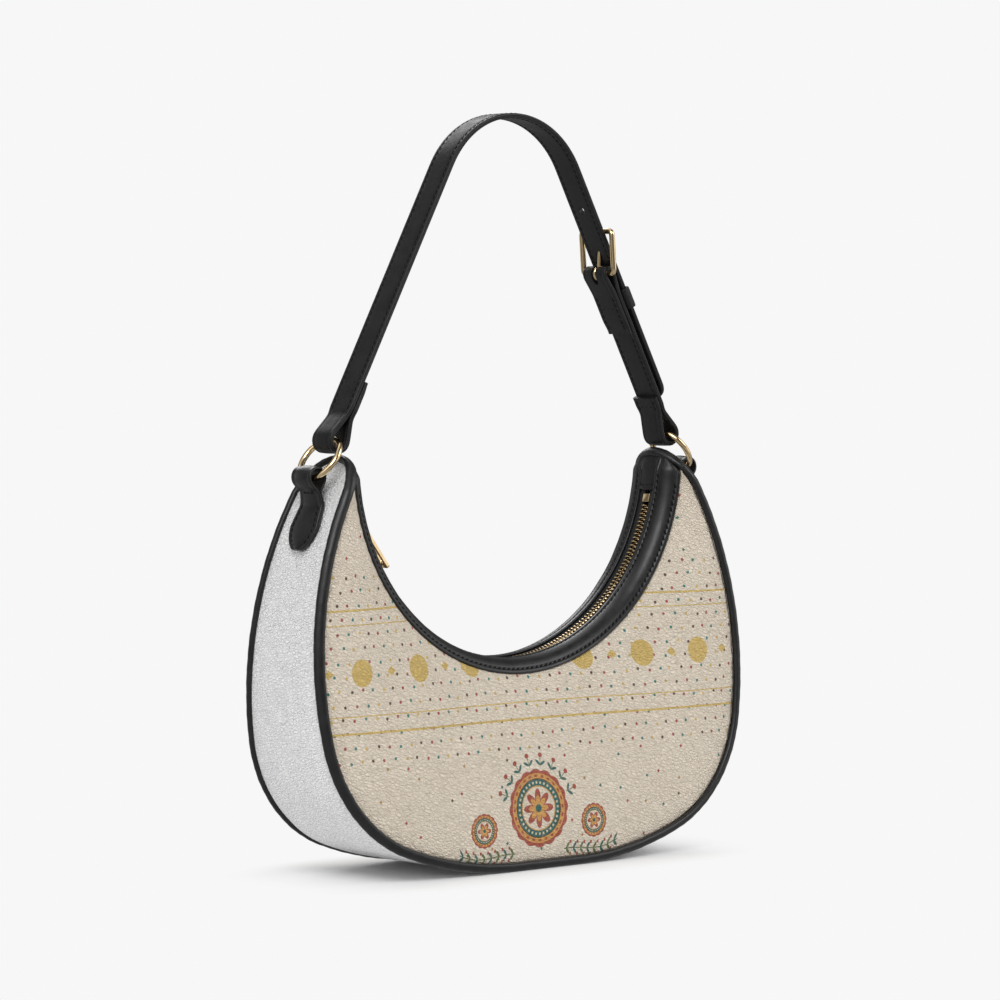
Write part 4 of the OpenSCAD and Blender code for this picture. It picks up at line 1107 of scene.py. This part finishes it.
# How far a ply's face stands out from its middle to its rim, and how its inner face rounds off
PLY_FACE = np.array([0.16, 0.15, 0.11, 0.06, -0.15, 0.0, 0.02, -0.05, -0.16, -0.33, -0.5])
PLY_UNDER = np.array([0.14, 0, 0, 0, 0.14])


def normals_2d(q):
    t = unit(np.gradient(q, axis=0))
    return np.stack([-t[:, 1], t[:, 0]], axis=1)


def mirrored(half, sign=1):
    """The values of half a section, from its middle to its rim, as those from rim to rim."""
    return np.concatenate([sign * half[::-1], half[1:]])


def section(p, m, o, y):
    """A ring about a point of a run in X and Z: offsets along the run's normal, and places across it."""
    return np.stack([p[0] + o * m[0], y, p[1] + o * m[1]], axis=1)


def ply(q, halves, inner, outer):
    """A leather ply along a run of points in a plane. inner and outer are offsets along its left side,
    the outer one being the face that shows; its rims are rounded and its face dips along the stitches."""
    outers = np.broadcast_to(outer, (len(q),))
    way = math.copysign(1, outers[0] - inner)
    rings = []
    for p, m, w, top in zip(q, normals_2d(q), halves, outers):
        w = max(w, 0.05)
        row = max(w - ROW_IN, 0)
        ys = np.clip([0, 0.35 * row, 0.7 * row, row - 0.7, row, row + 0.7, row + 1.3,
                      w - 0.55, w - 0.25, w - 0.08, w], 0, w)
        y = np.concatenate([mirrored(ys, -1), [w, w - 0.12, 0, -w + 0.12, -w]])
        o = np.concatenate([mirrored(top + way * PLY_FACE), inner + way * PLY_UNDER])
        rings.append(section(p, m, o, y))
    return loft(rings)


def face_runs(q, halves, offset, from_i, to_i, to_world=np.asarray):
    """Two stitch runs along a ply's face between two indices of its run of points."""
    n, runs = normals_2d(q), []
    for s in (-1, 1):
        k = np.arange(from_i, to_i)
        p, o = (to_world(np.insert(q[k] + d * n[k], 1, s * (halves[k] - ROW_IN), axis=1))
                for d in (offset, offset + math.copysign(1, offset)))
        runs.append((p, o - p))
    return runs


def leg_run(p, out, side=1):
    """A stitch run at leg-frame points, which faces out across the leg."""
    p = np.asarray(p, float)
    at = leg_world(p, side)
    return at, leg_world(p + np.array([out, 0, 0]), side) - at


def cross_run(d, offset, half, side=1):
    """A short run of stitches across the strap at a distance along a leg."""
    return leg_run([(offset, y, d) for y in np.linspace(-half, half, 8)], math.copysign(1, offset), side)


def hole_cutter(d, tilt=90.0):
    """A round cutter through the tail, square to it or leaning along the prong."""
    a, t = 2 * math.pi * np.arange(28)[:, None] / 28, rad(tilt)
    axis, side = np.array([math.sin(t), 0, math.cos(t)]), np.array([math.cos(t), 0, -math.sin(t)])
    circle = HOLE_D / 2 * (np.cos(a) * side + np.sin(a) * CROSS_Y)
    return on_leg(loft([np.array([TAIL_OFFSET, 0, d]) + s * axis + circle for s in (-3.4, 3.4)]))


def strap_half(d):
    """Half width of the strap, which narrows to its ring's loop."""
    return LOOP_W / 2 + (STRAP_W - LOOP_W) / 2 * ease(d, PINCH_D - 2, PINCH_D + 5)


def long_strap():
    q, step = resample(LONG_PATH, 1.25), 1.25
    # The tail's round end wants closer points
    q = np.concatenate([q[:-1], [q[-2] + (q[-1] - q[-2]) * t for t in (0.3, 0.6, 0.8, 0.92)], q[-1:]])
    d_left, d_right = ((q * [side, 1] - TOP_LOOP) @ LEG_WAY for side in (-1, 1))
    left, idx = q[:, 0] < 0, np.arange(len(q))
    into = np.clip(d_right - TAIL_END_D, 0, STRAP_W / 2)
    tail = np.where(left, STRAP_W / 2, np.sqrt(np.maximum(STRAP_W * into - into ** 2, 0)))
    halves = np.minimum(np.where(left, strap_half(d_left), STRAP_W / 2), np.maximum(tail, 0.05))
    holes = [hole_cutter(USED_D + k * HOLE_PITCH) for k in (1, -1, -2)] + [hole_cutter(USED_D, RISE)]
    # The fold's end is pared thin
    face = PLY_T * (1 - 0.45 * (1 - ease(idx * step, 0, 6)))
    add("strap_long_outer", cut(ply(q, halves, GAP / 20, face), holes), "handle", "long_strap", STRAP, 35)
    add("strap_long_inner", cut(ply(q, halves, -GAP / 20, -PLY_T), holes), "handle", "long_strap_backing", STRAP, 35)
    top = idx[left & (d_left > PINCH_D + 1)]
    first = top[top > idx[left][np.argmin(q[left, 1])]][0]
    last = idx[~left & (d_right > TAIL_END_D + 8)][-1]
    fold = idx[:max(4, int((LONG_FOLD_D - PINCH_D - 1) / step))]
    runs = face_runs(q, halves, PLY_T, first, last)
    runs += face_runs(q, halves, -PLY_T, int(first + (LONG_FOLD_D - PINCH_D) / step), last)
    runs += face_runs(q, halves, PLY_T, fold[1], fold[-1])
    # The stitch row that goes round the tail's end
    a, r = np.radians(np.linspace(0, 180, 16)), STRAP_W / 2 - ROW_IN
    for sense in (1, -1):
        p = np.stack([np.full(16, TAIL_OFFSET + sense * PLY_T), r * np.cos(a),
                      TAIL_END_D + STRAP_W / 2 - r * np.sin(a)], axis=1)
        runs.append(leg_run(p, sense))
    for d in (PINCH_D + 1.6, LONG_FOLD_D - 1.6):
        for sense in (-1, 1):
            runs.append(cross_run(d, sense * (PLY_OFFSET + PLY_T), STRAP_W / 2 - 2.2, -1))
    sew("strap_long_stitches", runs, "handle", STRAP_THREAD)


long_strap()


def short_strap():
    q, step = resample(SHORT_PATH, 1.1), 1.1
    halves = strap_half(q[:, 1])
    low = HEEL_D - (BUCKLE_WIRE / 2 + GAP + PRONG_D) - 2 * GAP
    length = HEEL_D - low + 2 * HEEL_LOOP_R
    # The slot in the heel that the prong comes through
    sec = rounded_rect(length / 2, PRONG_D / 2 + 2 * GAP, PRONG_D / 2 + 2 * GAP - 0.05, 6)
    slot = on_leg(loft([np.column_stack([np.full(len(sec), x), sec[:, 1], sec[:, 0] + low + length / 2])
                        for x in (-9, 9)]))
    face = -PLY_T * (1 - 0.72 * (1 - ease(np.arange(len(q))[::-1] * step, 0, 9)))
    outer, inner = on_leg(ply(q, halves, -GAP / 20, face)), on_leg(ply(q, halves, GAP / 20, PLY_T))
    add("strap_short_outer", cut(outer, [slot]), "handle", "short_strap", STRAP, 35)
    add("strap_short_inner", cut(inner, [slot]), "handle", "short_strap_backing", STRAP, 35)

    def rows(side, offset, from_d, to_d):
        k = np.flatnonzero((q[:, 0] * side > 0) & (q[:, 1] > from_d) & (q[:, 1] < to_d))
        return face_runs(q, halves, offset, k[0], k[-1], leg_world)
    runs = rows(1, -PLY_T, PINCH_D + 1, SHORT_TOP_D) + rows(1, PLY_T, SHORT_FOLD_LOW_D + 1, SHORT_FOLD_HIGH_D - 1)
    runs += rows(-1, -PLY_T, PINCH_D, SHORT_FOLD_LOW_D) + rows(-1, -PLY_T, SHORT_FOLD_HIGH_D, SHORT_TOP_D)
    for d in (SHORT_FOLD_LOW_D - 5, HEEL_D - 19):
        runs.append(cross_run(d, -PLY_OFFSET - PLY_T, STRAP_W / 2 - 2.4))
    sew("strap_short_stitches", runs, "handle", STRAP_THREAD)


short_strap()


def keeper():
    """A leather band round the two straps, with rounded rims and a stitch row along each."""
    hx, hy = (STRAP_T + 2 * GAP) / 2, (STRAP_W + 2 * GAP) / 2
    d = SHORT_TOP_D - GAP - KEEPER_L / 2
    # A rounded bar: across the thickness of the band and along the strap
    section = [(KEEPER_T * (0.5 + 0.5 * math.copysign(abs(math.cos(a)) ** 0.5, math.cos(a))),
                KEEPER_L / 2 * math.copysign(abs(math.sin(a)) ** 0.25, math.sin(a)))
               for a in np.linspace(0, 2 * math.pi, 21)[:-1]]
    corner = rounded_rect(hx + 0.02, hy + 0.02, 0.8, 7)
    out = unit(corner - np.roll(corner, 1, 0)) + unit(np.roll(corner, -1, 0) - corner)
    out = unit(np.stack([out[:, 1], -out[:, 0]], axis=1))
    band = loft([[(TAIL_OFFSET + p[0] + n[0] * t, p[1] + n[1] * t, d + s) for t, s in section]
                 for p, n in zip(corner, out)], closed=True)
    add("keeper_band", on_leg(band), "handle", "keeper_loop", STRAP, 50)
    runs = []
    for side in (-1, 1):
        for face in (-1, 1):
            runs.append(leg_run([(TAIL_OFFSET + face * (hx + KEEPER_T), y, d + side * (KEEPER_L / 2 - 2))
                                 for y in np.linspace(-hy + 1.2, hy - 1.2, 10)], face))
    sew("keeper_stitches", runs, "handle", STRAP_THREAD, 3.6, 2.7, 0.3)


keeper()

# ---------------------------------------------------------------- buckle


def at_heel(shape, tilt):
    """A shape drawn about the heel bar, turned towards the tail by a tilt."""
    return on_leg(turned(shape, -tilt, HEEL_D))


def buckle():
    corner = rounded_rect(BUCKLE_L / 2, (BUCKLE_INNER_W + BUCKLE_WIRE) / 2, 2.0, 9)
    corner = resample(np.vstack([corner, corner[:1]]), 0.9, 0)[:-1]
    path = np.stack([0 * corner[:, 0], corner[:, 1], corner[:, 0] + BUCKLE_L / 2], axis=1)
    frame_wire = tube(path, BUCKLE_WIRE / 2, 24, (1, 0, 0), closed=True, flat=0.94)
    add("buckle_wire", at_heel(frame_wire, TILT), "buckle", "buckle_frame", GOLD, 60)
    # The prong: an eye round the heel bar and a pin that tapers to its end
    eye, length = BUCKLE_WIRE / 2 + GAP + PRONG_D / 2, BUCKLE_L + PRONG_D
    a = np.radians(np.linspace(90, 90 + 348, 44))
    loop = tube(np.stack([eye * np.cos(a), 0 * a, eye * np.sin(a)], axis=1), PRONG_D / 2 * 0.97, 18, (0, 1, 0))
    z = (eye * 0.9, eye + 1, length * 0.6, length - 1.2, length - 0.2, length + 0.5, length + 0.95)
    r = PRONG_D / 2 * np.array([1.02, 1.05, 1.0, 0.98, 0.92, 0.65, 0.12])
    pin = tube([(0, 0, h) for h in z], r, 20, (0, 1, 0))
    add("prong_pin", at_heel(merge([loop, pin]), RISE), "prong", "buckle_prong", GOLD, 60)


buckle()

# ---------------------------------------------------------------- tabs

TAB_SEAT, TAB_LIFT = GUSSET_OUT + GAP + TAB_T / 2, TAB_T + GAP / 3
TAB_LOOP_R = 4 + GAP + TAB_T / 2
TAB_TOP_TURN = TURNS[3] - 1
TAB_LOW_TURN = TAB_TOP_TURN - math.degrees(TAB_L / RADII[2])
BEND_FROM, BEND_TO = 0.184, 0.195       # heights between which the tabs bend, in metres


def side_run(turns, seat):
    """Points that stand off the bag's side by seat, where its outline has these headings."""
    x, z = after(CORNERS[2], RADII[2], TURNS[2], turns)
    h = np.radians(turns)
    return np.stack([x + seat * np.sin(h), z - seat * np.cos(h)], axis=-1)


TAB_LOW_Z = float(after(CORNERS[2], RADII[2], TURNS[2], TAB_LOW_TURN)[1])
TAB_ROUND_Z = TAB_LOW_Z + 12.5
TAB_BEND = side_run(TAB_TOP_TURN, TAB_SEAT + TAB_LIFT / 2)
TAB_WAY = unit(LOW_LOOP - TAB_BEND)
TAB_SIDE = np.array([TAB_WAY[1], -TAB_WAY[0]])
TAB_CREASE = LOW_LOOP - TAB_CREASE_D * TAB_WAY
# The face of a tab's ply from its middle to its rim, and its underside
TAB_FACE = TAB_T / 2 + np.array([0.35, 0.28, 0.03, -0.16, 0.0, -0.05, -0.16, -0.3, -0.45])
TAB_UNDER = -TAB_T / 2 + np.array([0, 0, 0, 0, 0, 0, 0.03, 0.08, 0.2])
TAB_SECTION = np.concatenate([mirrored(TAB_FACE), mirrored(TAB_UNDER)])


def tab_half(z, inset=0.0):
    """Half width at a height, drawn in by an inset: a round end, then a leaf that narrows to its crease."""
    down = np.clip((TAB_ROUND_Z - z) / (TAB_ROUND_Z - TAB_LOW_Z - inset), 0, 1)
    up = np.clip((z - TAB_ROUND_Z) / (TAB_CREASE[1] - TAB_ROUND_Z), 0, 1)
    return np.where(z < TAB_ROUND_Z, (TAB_W / 2 - inset) * np.sqrt(1 - down ** 2),
                    TAB_W / 2 + (LOOP_W - TAB_W) / 2 * up ** 0.9 - inset)


def tab(side, end):
    turns = np.linspace(TAB_LOW_TURN, TAB_TOP_TURN - 1.2, 10)
    half = TAB_LIFT / 2 * TAB_SIDE
    face = unit(side_run(TAB_TOP_TURN, 1) - side_run(TAB_TOP_TURN, 0))
    mitre = (TAB_SIDE + face) * TAB_LIFT / 2 / (1 + TAB_SIDE @ face)
    q = [*side_run(turns, TAB_SEAT), TAB_BEND - mitre,
         *wrap(TAB_CREASE - half, LOW_LOOP, TAB_LOOP_R, TAB_CREASE + half, -1, 26), TAB_BEND + mitre]
    q = resample(q + list(side_run(turns[::-1], TAB_SEAT + TAB_LIFT)), 0.8)
    # Closer points where the end rounds off
    q = np.vstack([q[:1], [q[0] + (q[1] - q[0]) * t for t in (0.04, 0.12, 0.3, 0.6)], q[1:-1],
                   [q[-2] + (q[-1] - q[-2]) * t for t in (0.4, 0.7, 0.88, 0.96)], q[-1:]])
    n, rings = normals_2d(q), []
    for p, m, w in zip(q, n, np.maximum(tab_half(q[:, 1]), 0.05)):
        row = max(w - ROW_IN, 0)
        ys = np.clip([0, 0.4 * row, row - 0.7, row, row + 0.7, w - 0.5, w - 0.2, w - 0.06, w], 0, w)
        y = mirrored(ys, -1)
        # The path runs up the inner ply, so the face that shows is on its left
        rings.append(section(p, m, TAB_SECTION, np.concatenate([y, -y])))
    name = "tab_leaf_" + end
    piece = add(name, loft(rings), None, end + "_tab", TRIM, 50, (side, 1, 1))
    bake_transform(piece)
    # The stitch row inside the leaf's edge, below the bend
    outer_run, z = np.arange(len(q)) > len(q) // 2, q[:, 1]
    down = outer_run & (z < BEND_FROM / MM - 0.4) & (z > TAB_LOW_Z + ROW_IN)
    at = q[down] + n[down] * TAB_T / 2
    one = np.stack([side * at[:, 0], tab_half(z[down], ROW_IN), at[:, 1]], axis=1)
    out = np.stack([side * n[down, 0], 0 * at[:, 0], n[down, 1]], axis=1)
    run = np.concatenate([one, one[::-1] * [1, -1, 1]]), np.concatenate([out, out[::-1]])
    sew(name + "_stitches", [run], "bag", TRIM_THREAD, 3.0, 2.2)
    # The seam across the crease
    k = int(np.argmin(np.hypot(*(q - TAB_CREASE).T) + 99 * ~outer_run))
    x, z = q[k] + n[k] * (TAB_T / 2 + 0.3)
    p = np.array([(side * x, y, z) for y in np.linspace(2.2 - LOOP_W / 2, LOOP_W / 2 - 2.2, 8)])
    seam = sew(name + "_seam", [(p, p * 0 + [side * n[k, 0], 0, n[k, 1]])], None, TRIM_THREAD, 2.6, 2.1, 0.38, 0.1)
    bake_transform(seam)


for side, end in SIDES:
    tab(side, end)

# The board is a carried-over CAD node
for material_slot in frame["nodes"]["base_board"].material_slots:
    material_slot.material = BOARD

# ---------------------------------------------------------------- stage and light

BACKDROP, PAPER, DUSK = 0.93, 0.86, 0.35        # grey levels
FLOOR_R, FLOOR_SIDES, LAMP_AIM = 1.4, 96, Vector((0, 0, 0.12))
SHADOW_X, SHADOW_Y, SHADOW_FADE_X, SHADOW_FADE_Y = 0.075, 0.028, 0.075, 0.044


def grey(value):
    return (value, value, value, 1)


def shader(tree, kind, *inputs):
    return new_node(tree, kind, inputs).outputs[0]


def floor():
    """Paper that takes the bag's shadow and fades into the backdrop around it."""
    a = 2 * np.pi * np.arange(FLOOR_SIDES) / FLOOR_SIDES
    rim = FLOOR_R * np.stack([np.cos(a), np.sin(a), 0 * a], axis=1)
    disc = to_object("floor", (rim, [tuple(range(FLOOR_SIDES))]))
    mat = bpy.data.materials.new("floor_paper")
    mat.use_nodes = True
    tree = mat.node_tree
    tree.nodes.clear()
    x, y, _ = split(tree, new_node(tree, "TexCoord", ()).outputs["Object"])
    fade = hypot((abs(x) - SHADOW_X).most(0.0) / SHADOW_FADE_X, (abs(y) - SHADOW_Y).most(0.0) / SHADOW_FADE_Y)
    fade = fade.least(1.0)
    fade = fade * fade * (3.0 - fade * 2.0)
    paper = shader(tree, "MixShader", fade, shader(tree, "BsdfDiffuse", grey(PAPER)),
                   shader(tree, "Emission", grey(BACKDROP)))
    # Mirrors see a darker floor, so that black leather stays black
    mirror = new_node(tree, "LightPath", ()).outputs["Is Glossy Ray"]
    new_node(tree, "OutputMaterial", [shader(tree, "MixShader", mirror, paper, shader(tree, "Emission", grey(DUSK)))])
    disc.data.materials.append(mat)


# The bright screens that mirrors see: direction, cosines at which each begins and is full, and power
SCREENS = (((-0.70, -0.13, 0.70), 0.82, 0.97, 1.0), ((-0.95, -0.20, 0.24), 0.86, 0.98, 0.4),
           ((0.1, 0.45, 0.89), 0.86, 0.98, 1.1), ((0.66, -0.75, 0.04), 0.92, 0.985, 0.9),
           ((0.93, -0.30, 0.20), 0.88, 0.98, 0.7), ((-0.3, 0.95, 0.05), 0.90, 0.99, 0.5))
ROOM_LIGHT, MIRROR_LIGHT = 0.55, 0.13


def world():
    """White to the camera, soft light for everything else, and a dim studio with bright screens for mirrors."""
    w = bpy.data.worlds.new("studio")
    bpy.context.scene.world = w
    w.use_nodes = True
    tree = w.node_tree
    tree.nodes.clear()
    path = new_node(tree, "LightPath", ()).outputs
    seen = Num(tree, path["Is Camera Ray"]).most(Num(tree, path["Is Transmission Ray"]))
    place = new_node(tree, "TexCoord", ()).outputs["Generated"]
    room = MIRROR_LIGHT
    for way, low, high, power in SCREENS:
        facing = new_node(tree, "VectorMath", [place, way], operation="DOT_PRODUCT").outputs["Value"]
        room = Num(tree, facing).spread(low, high, 0, power) + room
    light = shader(tree, "MixShader", path["Is Glossy Ray"], shader(tree, "Background", grey(1), ROOM_LIGHT),
                   shader(tree, "Background", grey(1), room))
    new_node(tree, "OutputWorld", [shader(tree, "MixShader", seen, light, shader(tree, "Background", grey(BACKDROP)))])


def lamp(name, at, size, power):
    data = bpy.data.lights.new(name, "AREA")
    data.shape, data.size, data.energy = "DISK", size, power
    light = link(name, data)
    light.location = at
    light.rotation_mode = "QUATERNION"
    light.rotation_quaternion = (Vector(at) - LAMP_AIM).to_track_quat("Z", "Y")


floor()
world()
lamp("key", (-1.3, -1.1, 1.6), 1.1, 19)
lamp("fill", (1.1, -1.4, 1.45), 1.3, 13.2)
lamp("rim", (0.6, 1.6, 1.3), 1.0, 9)

scene = bpy.context.scene
scene.view_settings.view_transform = "Standard"
